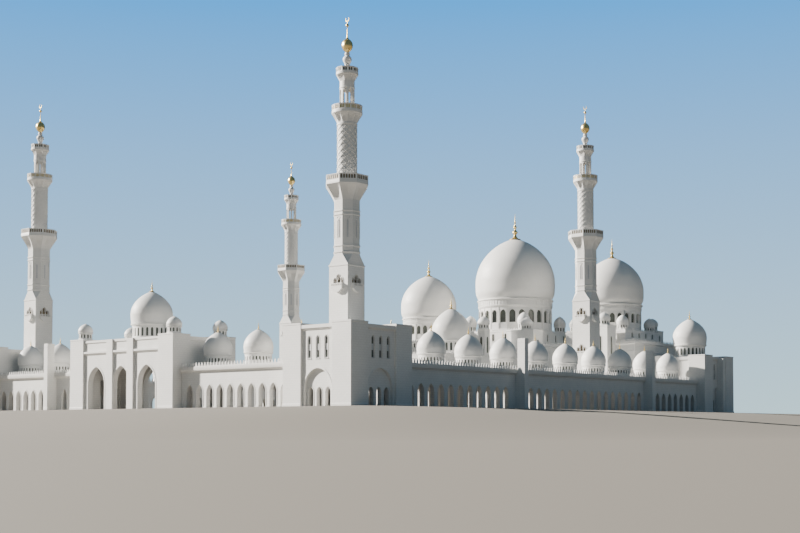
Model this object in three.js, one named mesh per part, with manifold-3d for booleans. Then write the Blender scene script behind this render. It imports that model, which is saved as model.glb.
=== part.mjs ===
import * as THREE from 'three';
import Module from 'manifold-3d';

const wasm = await Module();
wasm.setup();
const { Manifold, Mesh: SolidMesh } = wasm;

// All lengths below are metres of the real building. The model is 1:10.
const MM_PER_REAL_METRE = 100;
const PLAN_MIDDLE_Y = 93;

// Grid of the plan
const MINARET_X = 71.4;
const MINARET_REAR_Y = 121.8;
const ROW_X = 79.5;
const FRONT_ROW_Y = -8.5;
const HALL_ROW_Y = 182.4;
const SIDE_BAY = 17.35;
const FRONT_BAY = 16.64;
const FRONT_BAY_START = 29.57;

// Square blocks at the corners and the wide entrance block
const BLOCK_HALF = 11.85;
const PIER_WIDTH = 6.4;
const PIER_TOP = 21.5;
const RECESS_TOP = 20.9;
const RECESS_DEPTH = 0.6;
const BLOCK_WALL = 1.8;
const BLIND_ARCH_DEPTH = 0.7;
const ENTRANCE_HALF = 24;

// Arcades
const ARCADE_HALF = 8.5;
const ARCADE_WALL = 1.2;
const ARCADE_WALL_TOP = 11;
const ARCADE_ROOF_TOP = 11.8;
const CORNICE_REACH = 0.8;
const ARCH_WIDTH = 2.7;
const ARCH_SPRING = 4.4;
const ARCH_APEX = 6.8;
const ARCHES_PER_BAY = 4;

// Domes: radius, drum foot, ring, widest level and top of the shell
const ARCADE_DOME = { radius: 4.15, ring: 15.8, wide: 17.05, top: 22, sides: 10 };
const BLOCK_DOME = { radius: 6.3, ring: 26, wide: 28.6, top: 35.6, sides: 16 };
const PORTAL_DOME = { radius: 7.7, ring: 29.1, wide: 32, top: 41.2, sides: 16 };
const SIDE_DOME = { radius: 12.2, ring: 42.5, wide: 47.2, top: 61.5, sides: 24 };
const MAIN_DOME = { radius: 16.55, ring: 47.4, wide: 53.6, top: 73.4, sides: 24 };
const SIDE_DOME_X = 46.3;
const PORTAL_Y = 138.5;
const PORTAL_HALF = 10.8;

// Prayer hall
const HALL_HALF_X = 64.7;
const HALL_FRONT_Y = 166.9;
const HALL_REAR_Y = 206.35;
const HALL_WALL = 2;
const DRUM_WALL = 1.2;
const HALL_WALL_TOP = 26.1;
const HALL_ROOF_TOP = 27.3;
const HALL_CORNICE = 0.5;
const HALL_TOWER_TOP = 33.5;
const INNER_TOWER = { x: 18.4, half: 5.3 };
const OUTER_TOWER = { x: 53.6, half: 3.2 };
const REAR_TOWER_SETBACK = 2;
const MAIN_PODIUM = { half: 16, top: 34.1, turret: 41.4, radius: 2.6, foot: 30, head: 33 };
const MAIN_WINDOWS = [-12.2, -6.1, 0, 6.1, 12.2];
const SIDE_PODIUM = { half: 13.2, top: 32, turret: 38, radius: 2.3, foot: 29.4, head: 31.3 };
const SIDE_WINDOWS = [-7.9, -2.6, 2.6, 7.9];
const PODIUM_WALL = 1.5;

// Slab pylons that stand out from the arcades and the rear blocks
const PYLON_WIDTH = 1.9;
const PYLON_TOP = 21;
const PYLON_CLEARANCE = 2.4;
const SIDE_PYLONS_Y = [56, 132.4];
const FRONT_PYLON_X = 36.85;

// Colours
const MARBLE = 0xf1efe9;
const GOLD = 0xc9a24a;

// Shape helpers

function toModel(metres) {
  return Math.round(metres * MM_PER_REAL_METRE * 5) / 5;
}

function solid(geometry) {
  const source = geometry.index ? geometry.toNonIndexed() : geometry;
  const position = source.getAttribute('position');
  const found = new Map();
  const points = [];
  const corners = [];
  for (let i = 0; i < position.count; i += 1) {
    const point = [position.getX(i), position.getY(i), position.getZ(i)];
    const key = point.map((value) => Math.round(value * 1e4)).join(' ');
    if (!found.has(key)) {
      found.set(key, points.length / 3);
      points.push(...point);
    }
    corners.push(found.get(key));
  }
  const triangles = [];
  let volume = 0;
  for (let i = 0; i < corners.length; i += 3) {
    const [a, b, c] = corners.slice(i, i + 3);
    if (a === b || b === c || c === a) continue;
    triangles.push([a, b, c]);
    const [p, q, r] = [a, b, c].map((k) => new THREE.Vector3(...points.slice(3 * k, 3 * k + 3)));
    volume += p.dot(q.cross(r));
  }
  const ordered = volume > 0 ? triangles : triangles.map(([a, b, c]) => [a, c, b]);
  return new Manifold(new SolidMesh({
    numProp: 3,
    vertProperties: new Float32Array(points),
    triVerts: new Uint32Array(ordered.flat()),
  }));
}

function join(...shapes) {
  return Manifold.union(shapes.flat());
}

function box(x0, x1, y0, y1, z0, z1) {
  const geometry = new THREE.BoxGeometry(x1 - x0, y1 - y0, z1 - z0);
  geometry.translate((x0 + x1) / 2, (y0 + y1) / 2, (z0 + z1) / 2);
  return solid(geometry);
}

function lathe(profile, sides, x = 0, y = 0) {
  const points = profile.map(([radius, z]) => new THREE.Vector2(radius, z));
  const geometry = new THREE.LatheGeometry(points, sides);
  geometry.rotateX(Math.PI / 2);
  geometry.rotateZ(Math.PI / sides);
  geometry.translate(x, y, 0);
  return solid(geometry);
}

function prism(radius, sides, z0, z1, x = 0, y = 0) {
  return lathe([[0, z0], [radius, z0], [radius, z1], [0, z1]], sides, x, y);
}

function extrudeXZ(outline, y0, y1) {
  const shape = new THREE.Shape(outline.map(([x, z]) => new THREE.Vector2(x, z)));
  const geometry = new THREE.ExtrudeGeometry(shape, { depth: y1 - y0, bevelEnabled: false });
  geometry.rotateX(Math.PI / 2);
  geometry.translate(0, y1, 0);
  return solid(geometry);
}

function moved(shape, x, y, degrees = 0) {
  const data = shape.getMesh();
  const geometry = new THREE.BufferGeometry();
  geometry.setAttribute('position', new THREE.BufferAttribute(data.vertProperties, 3));
  geometry.setIndex(new THREE.BufferAttribute(data.triVerts, 1));
  geometry.rotateZ(degrees * Math.PI / 180);
  geometry.translate(x, y, 0);
  return solid(geometry);
}

function turned(shape, degrees) {
  return degrees === 0 ? shape : moved(shape, 0, 0, degrees);
}

// A pointed arch standing on level z0, seen from the front, from left foot to right foot
function archOutline(centre, width, z0, spring, apex) {
  const half = width / 2;
  const rise = apex - spring;
  return [
    [centre - half, z0],
    [centre - half, spring],
    [centre - 0.74 * half, spring + 0.58 * rise],
    [centre, apex],
    [centre + 0.74 * half, spring + 0.58 * rise],
    [centre + half, spring],
    [centre + half, z0],
  ];
}

// Same arch with straight haunches, for walls that face the court
function plainArchOutline(centre, width, z0, spring, apex) {
  return archOutline(centre, width, z0, spring, apex).filter((_, k) => k !== 2 && k !== 4);
}

// Wall along X with arches notched into its foot
function archedWall(x0, x1, y0, y1, top, arches) {
  const outline = [[x0, 0], ...arches.flat(), [x1, 0], [x1, top], [x0, top]];
  return extrudeXZ(outline, y0, y1);
}

function arcadeArches(from, to, first, spacing, outline) {
  const arches = [];
  for (let x = first; x < to - 1.8; x += spacing) {
    if (x > from + 1.8) arches.push(outline(x, ARCH_WIDTH, 0, ARCH_SPRING, ARCH_APEX));
  }
  return arches;
}

// Arches that no pylon stands in front of
function clearOf(pylons, arches) {
  const middle = (arch) => (arch[0][0] + arch[arch.length - 1][0]) / 2;
  const clear = (arch) => pylons.every((place) => Math.abs(middle(arch) - place) > PYLON_CLEARANCE);
  return arches.filter(clear);
}

function piece(name, shape, colour) {
  const data = shape.getMesh();
  const found = new Map();
  const points = [];
  const index = [];
  const renamed = [];
  for (let i = 0; i < data.vertProperties.length; i += data.numProp) {
    const snapped = Array.from(data.vertProperties.slice(i, i + 3), toModel);
    const key = snapped.join(' ');
    if (!found.has(key)) {
      found.set(key, points.length / 3);
      points.push(...snapped);
    }
    renamed.push(found.get(key));
  }
  for (let i = 0; i < data.triVerts.length; i += 3) {
    const [a, b, c] = [0, 1, 2].map((k) => renamed[data.triVerts[i + k]]);
    if (a !== b && b !== c && c !== a) index.push(a, b, c);
  }
  const geometry = new THREE.BufferGeometry();
  geometry.setAttribute('position', new THREE.Float32BufferAttribute(points, 3));
  geometry.setIndex(index);
  geometry.computeVertexNormals();
  const material = new THREE.MeshStandardMaterial({ color: colour });
  material.metalness = colour === GOLD ? 1 : 0;
  material.roughness = colour === GOLD ? 0.3 : 0.6;
  const mesh = new THREE.Mesh(geometry, material);
  mesh.name = name;
  return mesh;
}

// Domes

function domeShell(dome, foot, x = 0, y = 0) {
  const { radius: r, ring, wide, top, sides } = dome;
  const rise = top - wide;
  const plain = [
    [0.9 * r, ring - 0.06 * r],
    [r, wide],
    [0.9 * r, wide + 0.36 * rise],
    [0.6 * r, wide + 0.7 * rise],
  ];
  const rich = [
    [0.9 * r, ring - 0.08 * r],
    [0.98 * r, ring],
    [r, wide],
    [0.93 * r, wide + 0.3 * rise],
    [0.78 * r, wide + 0.53 * rise],
    [0.5 * r, wide + 0.77 * rise],
    [0.13 * r, top],
  ];
  const curve = sides > 12 ? rich : plain;
  return lathe([[0, foot], [0.9 * r, foot], ...curve, [0, top]], sides, x, y);
}

function domeVoid(dome, from, wall, x = 0, y = 0) {
  const { radius: r, wide, top, sides } = dome;
  const rise = top - wide;
  return lathe([
    [0, from],
    [0.88 * r - wall, from],
    [0.88 * r - wall, wide],
    [0, wide + 0.66 * rise],
  ], sides / 2, x, y);
}

// Gilded spire on a dome: base disc, two bulbs and a long tip
function finial(foot, height) {
  const profile = [
    [0.22, 0],
    [0.05, 0.12],
    [0.1, 0.28],
    [0.04, 0.4],
    [0.07, 0.5],
    [0.02, 0.62],
    [0, 1],
  ];
  return lathe([[0, foot], ...profile.map(([r, z]) => [r * height, foot + z * height])], 6);
}

// Turret: small windowed drum and dome on a pier
function turret(radius, foot, top, x, y) {
  const rise = top - foot;
  return lathe([
    [0, foot],
    [0.95 * radius, foot],
    [radius, foot + 0.48 * rise],
    [0.8 * radius, foot + 0.73 * rise],
    [0, top],
  ], 8, x, y);
}

// Corner blocks and the entrance block

const WINDOW_COLUMNS = [-2.95, 0, 2.95];

// One recessed face between piers, on the side that looks towards -Y
function recessedFace(halfLength, halfDepth, columns = WINDOW_COLUMNS) {
  const inner = halfLength - PIER_WIDTH;
  const outer = -halfDepth + RECESS_DEPTH;
  const middle = outer + BLIND_ARCH_DEPTH;
  const back = outer + BLOCK_WALL;
  const bigArch = archOutline(0, 9.2, 0, 5, 9.9);
  const front = archedWall(-inner, inner, outer, middle, RECESS_TOP, [bigArch]);
  const doors = columns.map((x) => plainArchOutline(x, 1.9, 0, 3.8, 5.2));
  const rear = archedWall(-inner, inner, middle, back, RECESS_TOP, doors);
  const cornice = box(-inner, inner, outer - 0.5, outer, 19.6, RECESS_TOP);
  const windows = [];
  for (const x of columns) {
    windows.push(extrudeXZ(plainArchOutline(x, 1, 16.1, 17.4, 18), outer - 1, back + 1));
    windows.push(box(x - 0.5, x + 0.5, outer - 1, back + 1, 12.6, 14.4));
  }
  return join(front, rear, cornice).subtract(join(windows));
}

// One face that opens into the arcade walk beside it
function arcadeFace(halfLength, halfDepth) {
  const inner = halfLength - PIER_WIDTH;
  const outer = -halfDepth + RECESS_DEPTH;
  const back = outer + BLOCK_WALL;
  const opening = archOutline(0, 9.2, 0, 5, 9.9);
  const wall = archedWall(-inner, inner, outer, back, RECESS_TOP, [opening]);
  return join(wall, box(-inner, inner, outer - 0.3, outer, 19.6, RECESS_TOP));
}

function piers(halfX, halfY) {
  const shapes = [];
  for (const sx of [-1, 1]) {
    for (const sy of [-1, 1]) {
      const x = sx * (halfX - PIER_WIDTH / 2);
      const y = sy * (halfY - PIER_WIDTH / 2);
      const h = PIER_WIDTH / 2;
      shapes.push(box(x - h, x + h, y - h, y + h, 0, PIER_TOP));
    }
  }
  return shapes;
}

function roofSlab(halfX, halfY) {
  const reach = RECESS_DEPTH + 0.4;
  return box(-halfX + reach, halfX - reach, -halfY + reach, halfY - reach, 19.6, 20.4);
}

// Block on the right side; outer faces look to the front and the right
function frontBlock() {
  const b = BLOCK_HALF;
  return join(
    piers(b, b),
    recessedFace(b, b),
    turned(recessedFace(b, b), 90),
    turned(arcadeFace(b, b), 180),
    turned(arcadeFace(b, b), 270),
    roofSlab(b, b),
  );
}

// Rear block: outer faces look to the right and the back, with a pylon on the right one
function rearBlock() {
  const b = BLOCK_HALF;
  const pylon = box(b - 1.2, b + 1.95, -PYLON_WIDTH / 2, PYLON_WIDTH / 2, 0, 20.4);
  const body = join(
    piers(b, b),
    turned(recessedFace(b, b), 180),
    turned(recessedFace(b, b, [-2.95, 2.95]), 90),
    arcadeFace(b, b),
    turned(arcadeFace(b, b), 270),
    roofSlab(b, b),
    pylon,
  );
  return body.subtract(prism(4.6, 12, 19, 21));
}

function domeOnBlock() {
  const foot = 20.4;
  return domeShell(BLOCK_DOME, foot).subtract(domeVoid(BLOCK_DOME, foot - 0.1, 0.7));
}

function entranceBlock() {
  const ex = ENTRANCE_HALF;
  const b = BLOCK_HALF;
  const inner = ex - PIER_WIDTH;
  const outer = -b + RECESS_DEPTH;
  const back = outer + BLOCK_WALL;
  const arches = [-11.8, 0, 11.8].map((x) => archOutline(x, 8, 0, 7.6, 13));
  const front = archedWall(-inner, inner, outer, back, RECESS_TOP, arches);
  const rear = archedWall(-inner, inner, -back, -outer, RECESS_TOP, arches);
  const cornice = box(-inner, inner, outer - 0.5, outer, 16.6, 17.6);
  const slender = [-4.8, 4.8].map((x) => box(x - 1.4, x + 1.4, -b, outer, 0, 20.9));
  const body = join(
    piers(ex, b),
    front,
    rear,
    cornice,
    slender,
    turned(arcadeFace(b, ex), 90),
    turned(arcadeFace(b, ex), 270),
    roofSlab(ex, b),
  );
  const shaft = prism(4.6, 12, 19, 21);
  const turrets = [];
  for (const sx of [-1, 1]) {
    for (const sy of [-1, 1]) {
      turrets.push(turret(2.25, PIER_TOP - 0.2, 26.6, sx * 20.8, sy * 8.65));
    }
  }
  return join(body.subtract(shaft), turrets);
}

// Arcades, with the middle of the walk at y = 0

const FRONT_START_X = ENTRANCE_HALF;
const FRONT_END_X = ROW_X - BLOCK_HALF;

function frontWall(y0, outline, pylons = []) {
  const spacing = FRONT_BAY / ARCHES_PER_BAY;
  const first = FRONT_BAY_START - 0.5 * spacing;
  const all = arcadeArches(FRONT_START_X, FRONT_END_X, first, spacing, outline);
  const arches = clearOf(pylons, all);
  return archedWall(FRONT_START_X, FRONT_END_X, y0, y0 + ARCADE_WALL, ARCADE_WALL_TOP, arches);
}

// Slab pylon in front of the outer wall, behind which the cornice runs on
function frontPylon() {
  const x0 = FRONT_PYLON_X - PYLON_WIDTH / 2;
  const x1 = FRONT_PYLON_X + PYLON_WIDTH / 2;
  const cornice = -ARCADE_HALF - CORNICE_REACH;
  return join(
    box(x0, x1, -BLOCK_HALF, cornice, 0, PYLON_TOP),
    box(x0, x1, -BLOCK_HALF, -ARCADE_HALF + 0.5, 0, ARCADE_WALL_TOP),
  );
}

function frontRoof() {
  const reach = ARCADE_HALF + CORNICE_REACH;
  const slab = box(FRONT_START_X, FRONT_END_X, -reach, reach, ARCADE_WALL_TOP, ARCADE_ROOF_TOP);
  const centres = [0, 1, 2].map((k) => FRONT_BAY_START + k * FRONT_BAY);
  const domes = centres.map((x) => domeShell(ARCADE_DOME, ARCADE_ROOF_TOP - 0.2, x));
  const voids = centres.map((x) => domeVoid(ARCADE_DOME, ARCADE_WALL_TOP - 0.2, 0.5, x));
  return join(slab, domes).subtract(join(voids));
}

const SIDE_START_Y = FRONT_ROW_Y + BLOCK_HALF;
const SIDE_END_Y = HALL_ROW_Y - BLOCK_HALF;

function sideArches(end) {
  const spacing = SIDE_BAY / ARCHES_PER_BAY;
  const first = FRONT_ROW_Y + SIDE_BAY - 0.5 * spacing;
  return arcadeArches(SIDE_START_Y, end, first, spacing, plainArchOutline);
}

// The walls of the side walk are drawn along X and turned to run along Y
function sideOuterWall() {
  const arches = clearOf(SIDE_PYLONS_Y, sideArches(SIDE_END_Y));
  const wall = archedWall(SIDE_START_Y, SIDE_END_Y, 0, ARCADE_WALL, ARCADE_WALL_TOP, arches);
  const pylons = SIDE_PYLONS_Y.map((y) => join(
    box(y - PYLON_WIDTH / 2, y + PYLON_WIDTH / 2, -3.35, 0.5, 0, ARCADE_WALL_TOP),
    box(y - PYLON_WIDTH / 2, y + PYLON_WIDTH / 2, -3.35, -CORNICE_REACH, 0, PYLON_TOP),
  ));
  return moved(join(wall, pylons), ARCADE_HALF, 0, 90);
}

function sideInnerWall() {
  const arches = sideArches(MINARET_REAR_Y - MINARET_HALF);
  const wall = archedWall(SIDE_START_Y, SIDE_END_Y, -ARCADE_WALL, 0, ARCADE_WALL_TOP, arches);
  return moved(wall, -ARCADE_HALF, 0, 90);
}

function sideRoof() {
  const reach = ARCADE_HALF + CORNICE_REACH;
  const slab = box(-reach, reach, SIDE_START_Y, SIDE_END_Y, ARCADE_WALL_TOP, ARCADE_ROOF_TOP);
  const centres = Array.from({ length: 10 }, (_, k) => FRONT_ROW_Y + (k + 1) * SIDE_BAY);
  const domes = centres.map((y) => domeShell(ARCADE_DOME, ARCADE_ROOF_TOP - 0.2, 0, y));
  const voids = centres.map((y) => domeVoid(ARCADE_DOME, ARCADE_WALL_TOP - 0.2, 0.5, 0, y));
  return join(slab, domes).subtract(join(voids));
}

// Minarets

const MINARET_HALF = 3.38;
const SHAFT_TOP = 38.4;
const BROACH_TOP = 41.2;
const LOWER_BALCONY = 20;
const UPPER_BALCONY = 32.5;
const OCTAGON = MINARET_HALF / Math.cos(Math.PI / 8);

// Small balcony with its floor at height z on one face of the square shaft
function shaftBalcony(z) {
  return extrudeXZ(
    [[-1.85, z - 0.6], [-0.7, z - 1.5], [0.7, z - 1.5], [1.85, z - 0.6], [1.85, z], [-1.85, z]],
    -MINARET_HALF - 0.8,
    -MINARET_HALF + 0.2,
  );
}

// Three-lobed opening behind the balcony
function shaftDoorway(z) {
  const outline = [
    [-1.75, z],
    [1.75, z],
    [1.75, z + 1.7],
    [1.25, z + 2.4],
    [0.65, z + 2],
    [0, z + 3.3],
    [-0.65, z + 2],
    [-1.25, z + 2.4],
    [-1.75, z + 1.7],
  ];
  return extrudeXZ(outline, -MINARET_HALF - 1, -MINARET_HALF + 0.9);
}

// The square shaft turns into an octagon where slanting faces cut its four corners
function broach() {
  const h = MINARET_HALF;
  const corners = lathe([
    [0, SHAFT_TOP],
    [2 * h, SHAFT_TOP],
    [Math.SQRT2 * h, BROACH_TOP],
    [0, BROACH_TOP],
  ], 4);
  return box(-h, h, -h, h, SHAFT_TOP, BROACH_TOP).intersect(turned(corners, 45));
}

function minaretShaft(foot, floors) {
  const h = MINARET_HALF;
  const square = box(-h, h, -h, h, foot, SHAFT_TOP);
  const tower = lathe([
    [0, 38],
    [OCTAGON, 38],
    [OCTAGON, 55.8],
    [1.16 * OCTAGON, 57.6],
    [1.42 * OCTAGON, 59],
    [1.66 * OCTAGON, 59.9],
    [1.66 * OCTAGON, 62.4],
    [1.57 * OCTAGON, 62.4],
    [1.57 * OCTAGON, 60.8],
    [0, 60.8],
  ], 8);
  const sides = [0, 90, 180, 270];
  const balconies = floors.flatMap((z) => sides.map((angle) => turned(shaftBalcony(z), angle)));
  const doorways = floors.flatMap((z) => sides.map((angle) => turned(shaftDoorway(z), angle)));
  return join(square, broach(), tower, balconies).subtract(join(doorways));
}

// Round upper tower with a lantern of eight posts between two balconies
function minaretTower() {
  const lower = lathe([
    [0, 60.8],
    [2.65, 60.8],
    [2.65, 76.8],
    [4.17, 79.4],
    [4.17, 81.6],
    [3.9, 81.6],
    [3.9, 80.1],
    [0, 80.1],
  ], 8);
  const upper = lathe([
    [0, 87],
    [2.02, 87],
    [2.02, 88.2],
    [3.02, 90],
    [3.02, 91.9],
    [2.8, 91.9],
    [2.8, 90.6],
    [1, 90.6],
    [0.7, 92.6],
    [1.2, 94.2],
    [0.6, 96.2],
    [0, 96.2],
  ], 8);
  const posts = [];
  for (let k = 0; k < 8; k += 1) {
    posts.push(turned(prism(0.42, 4, 80, 87.1, 1.65, 0), 45 * k + 22.5));
  }
  return join(lower, upper, posts);
}

// Rear shafts stand on the ground at the inner edge of the side arcade and let its wall and roof pass
function rearMinaretShaft() {
  const wallFace = ROW_X - ARCADE_HALF - MINARET_X;
  const roofEdge = wallFace - CORNICE_REACH;
  return minaretShaft(0, [LOWER_BALCONY, UPPER_BALCONY]).subtract(join(
    box(wallFace, 8, -5, 5, -1, ARCADE_WALL_TOP),
    box(roofEdge, 8, -5, 5, ARCADE_WALL_TOP, ARCADE_ROOF_TOP),
  ));
}

function minaretFinial() {
  return lathe([
    [0, 96.2],
    [0.5, 96.2],
    [1.35, 97.2],
    [1.5, 98.3],
    [1.1, 99.3],
    [0.3, 100.3],
    [0.12, 103.2],
    [0.42, 103.7],
    [0, 106],
  ], 8);
}

// Prayer hall, with the row of its three domes at y = 0

const HALL_FRONT = HALL_FRONT_Y - HALL_ROW_Y;
const HALL_REAR = HALL_REAR_Y - HALL_ROW_Y;

// Two walls under a flat roof tie the hall to the rear block beside it
function hallLink() {
  const near = HALL_HALF_X;
  const far = ROW_X - BLOCK_HALF;
  const walls = [-BLOCK_HALF, BLOCK_HALF - HALL_WALL].map((y) => (
    box(near, far, y, y + HALL_WALL, 0, RECESS_TOP)
  ));
  return join(walls, box(near, far, -BLOCK_HALF, BLOCK_HALF, RECESS_TOP - 0.6, RECESS_TOP));
}

function hallWalls() {
  const x = HALL_HALF_X;
  const inner = x - HALL_WALL;
  const outside = box(-x, x, HALL_FRONT, HALL_REAR, 0, HALL_WALL_TOP);
  const inside = box(-inner, inner, HALL_FRONT + HALL_WALL, HALL_REAR - HALL_WALL, -1, HALL_WALL_TOP + 1);
  const cuts = [inside];
  for (const [centre, width, apex] of [[0, 9.4, 15], [-SIDE_DOME_X, 7, 12], [SIDE_DOME_X, 7, 12]]) {
    const door = archOutline(centre, width, -1, 0.7 * apex, apex);
    cuts.push(extrudeXZ(door, HALL_FRONT - 1, HALL_FRONT + HALL_WALL + 1));
  }
  return outside.subtract(join(cuts));
}

// Tower with a domed turret
function hallTower(x, half, y, foot) {
  const depth = PIER_WIDTH / 2;
  return join(
    box(x - half, x + half, y - depth, y + depth, foot, HALL_TOWER_TOP),
    turret(2.4, HALL_TOWER_TOP - 0.2, 38.6, x, y),
  );
}

// Four towers stand before the front wall, on the roof of the portico, and two near the rear edge
function hallRoof() {
  const x = HALL_HALF_X + HALL_CORNICE;
  const slab = box(-x, x, HALL_FRONT - HALL_CORNICE, HALL_REAR, HALL_WALL_TOP, HALL_ROOF_TOP);
  const frontY = HALL_FRONT - PIER_WIDTH / 2;
  const rearY = HALL_REAR - REAR_TOWER_SETBACK - PIER_WIDTH / 2;
  const front = [INNER_TOWER, OUTER_TOWER].flatMap((tower) => [-tower.x, tower.x].map((side) => (
    hallTower(side, tower.half, frontY, ARCADE_ROOF_TOP)
  )));
  const rear = [-OUTER_TOWER.x, OUTER_TOWER.x].map((side) => (
    hallTower(side, OUTER_TOWER.half, rearY, HALL_ROOF_TOP - 0.2)
  ));
  const holes = [
    prism(13.6, 24, HALL_WALL_TOP - 1, HALL_ROOF_TOP + 1),
    prism(10, 24, HALL_WALL_TOP - 1, HALL_ROOF_TOP + 1, SIDE_DOME_X),
    prism(10, 24, HALL_WALL_TOP - 1, HALL_ROOF_TOP + 1, -SIDE_DOME_X),
  ];
  return join(slab, front, rear).subtract(join(holes));
}

// Covered front of the prayer hall on the court side, drawn from the court edge at y = 0
function porticoWall() {
  const end = MINARET_X - MINARET_HALF;
  const spacing = FRONT_BAY / ARCHES_PER_BAY;
  const arches = arcadeArches(PORTAL_HALF, end, 0.5 * spacing, spacing, plainArchOutline);
  return archedWall(PORTAL_HALF, end, 0, ARCADE_WALL, ARCADE_WALL_TOP, arches);
}

function porticoRoof() {
  const end = ROW_X - ARCADE_HALF - CORNICE_REACH;
  const back = HALL_FRONT_Y - MINARET_REAR_Y;
  return join(
    box(PORTAL_HALF, MINARET_X - MINARET_HALF, -CORNICE_REACH, back, ARCADE_WALL_TOP, ARCADE_ROOF_TOP),
    box(PORTAL_HALF, end, MINARET_HALF, back, ARCADE_WALL_TOP, ARCADE_ROOF_TOP),
  );
}

// Tall square portal with open arches, two towers at its back corners
function portalBlock() {
  const h = PORTAL_HALF;
  const wall = 1.6;
  const y0 = MINARET_REAR_Y - 1.2 - PORTAL_Y;
  const outside = box(-h, h, y0, h, 0, 22.6);
  const inside = box(-h + wall, h - wall, y0 + wall, h - wall, -1, 21.4);
  const through = extrudeXZ(archOutline(0, 12, -1, 10, 18), y0 - 1, h + 1);
  const across = extrudeXZ(archOutline(0, 6, -1, 6, 9.6), -h - 1, h + 1);
  const well = prism(5.5, 20, 20, 24);
  const corner = h - 1.7;
  const towers = [-1, 1].map((side) => join(
    box(side * corner - 1.7, side * corner + 1.7, h - 3.4, h, 22.4, 33.2),
    turret(2.45, 33, 38.5, side * corner, corner),
  ));
  const body = outside.subtract(join(inside, through, moved(across, 0, -8.2, 90), well));
  return join(body, towers);
}

function portalDome() {
  const foot = 22.6;
  return domeShell(PORTAL_DOME, foot).subtract(domeVoid(PORTAL_DOME, foot - 0.1, 0.8));
}

// Hollow square podium with windows
function podiumShell({ half, top, foot, head }, places) {
  const inner = half - PODIUM_WALL;
  const outside = box(-half, half, -half, half, HALL_ROOF_TOP, top);
  const inside = box(-inner, inner, -inner, inner, HALL_ROOF_TOP - 1, top - 1.2);
  const windows = places.flatMap((place) => [
    box(place - 0.55, place + 0.55, -half - 1, half + 1, foot, head),
    box(-half - 1, half + 1, place - 0.55, place + 0.55, foot, head),
  ]);
  return outside.subtract(join(inside, windows));
}

// Podium and round drum with a ring of tall arched windows
function drum(dome, podium, podiumWindows, windowFoot, windowHead) {
  const { radius: r, ring } = dome;
  const { half, top } = podium;
  const wall = lathe([
    [0, top - 0.5],
    [0.91 * r, top - 0.5],
    [0.91 * r, windowHead + 0.9],
    [0.95 * r, windowHead + 1.6],
    [0.95 * r, ring],
    [0, ring],
  ], 24);
  const well = prism(0.91 * r - DRUM_WALL, 24, HALL_ROOF_TOP - 1, ring + 1);
  const width = 0.16 * r;
  const arch = plainArchOutline(0, width, windowFoot, windowHead - 0.8 * width, windowHead);
  const openings = Array.from({ length: 12 }, (_, k) => turned(extrudeXZ(arch, -r - 1, r + 1), 15 * k));
  const corner = half - 2.7;
  const places = [[-1, -1], [-1, 1], [1, -1], [1, 1]];
  const turrets = places.map(([sx, sy]) => (
    turret(podium.radius, top - 0.2, podium.turret, sx * corner, sy * corner)
  ));
  const shell = podiumShell(podium, podiumWindows);
  return join(shell, wall.subtract(join(openings)), turrets).subtract(well);
}

// The main podium gives way to the hall towers at its front corners
function mainDrum() {
  const half = INNER_TOWER.half;
  const notches = [-INNER_TOWER.x, INNER_TOWER.x].map((x) => (
    box(x - half, x + half, HALL_FRONT - PIER_WIDTH, HALL_FRONT, 0, HALL_TOWER_TOP)
  ));
  return drum(MAIN_DOME, MAIN_PODIUM, MAIN_WINDOWS, 37.7, 43).subtract(join(notches));
}

function bigDome(dome, wall) {
  const { radius: r, ring, wide, top, sides } = dome;
  const rise = top - wide;
  const shell = lathe([
    [0, ring],
    [0.91 * r, ring],
    [r, wide],
    [0.97 * r, wide + 0.26 * rise],
    [0.87 * r, wide + 0.49 * rise],
    [0.7 * r, wide + 0.69 * rise],
    [0.48 * r, wide + 0.845 * rise],
    [0.22 * r, wide + 0.97 * rise],
    [0.11 * r, top],
    [0, top],
  ], sides);
  const inside = lathe([
    [0, ring - 0.5],
    [0.93 * r - wall, ring - 0.5],
    [0.93 * r - wall, wide + 0.26 * rise],
    [0.6 * r - wall, wide + 0.68 * rise],
    [0, wide + 0.8 * rise],
  ], sides / 2);
  return shell.subtract(inside);
}

const group = new THREE.Group();
group.name = 'mosque_building';
const rightHalf = new THREE.Group();
rightHalf.name = 'right_half';
const leftHalf = new THREE.Group();
leftHalf.name = 'left_half';
leftHalf.scale.x = -1;
group.add(rightHalf, leftHalf);

function place(parent, name, shape, x, y, colour = MARBLE) {
  const mesh = piece(name, shape, colour);
  mesh.position.set(toModel(x), toModel(y - PLAN_MIDDLE_Y), 0);
  parent.add(mesh);
}

function placePair(name, shape, x, y, colour = MARBLE) {
  place(rightHalf, `${name}_right`, shape, x, y, colour);
  place(leftHalf, `${name}_left`, shape, x, y, colour);
}

const blockFinial = finial(BLOCK_DOME.top, 3.7);

placePair('front_block', frontBlock(), ROW_X, FRONT_ROW_Y);
placePair('rear_block', rearBlock(), ROW_X, HALL_ROW_Y);
placePair('rear_block_dome', domeOnBlock(), ROW_X, HALL_ROW_Y);
placePair('rear_block_finial', blockFinial, ROW_X, HALL_ROW_Y, GOLD);

place(group, 'entrance_block', entranceBlock(), 0, FRONT_ROW_Y);
place(group, 'entrance_dome', domeOnBlock(), 0, FRONT_ROW_Y);
place(group, 'entrance_finial', blockFinial, 0, FRONT_ROW_Y, GOLD);

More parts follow.
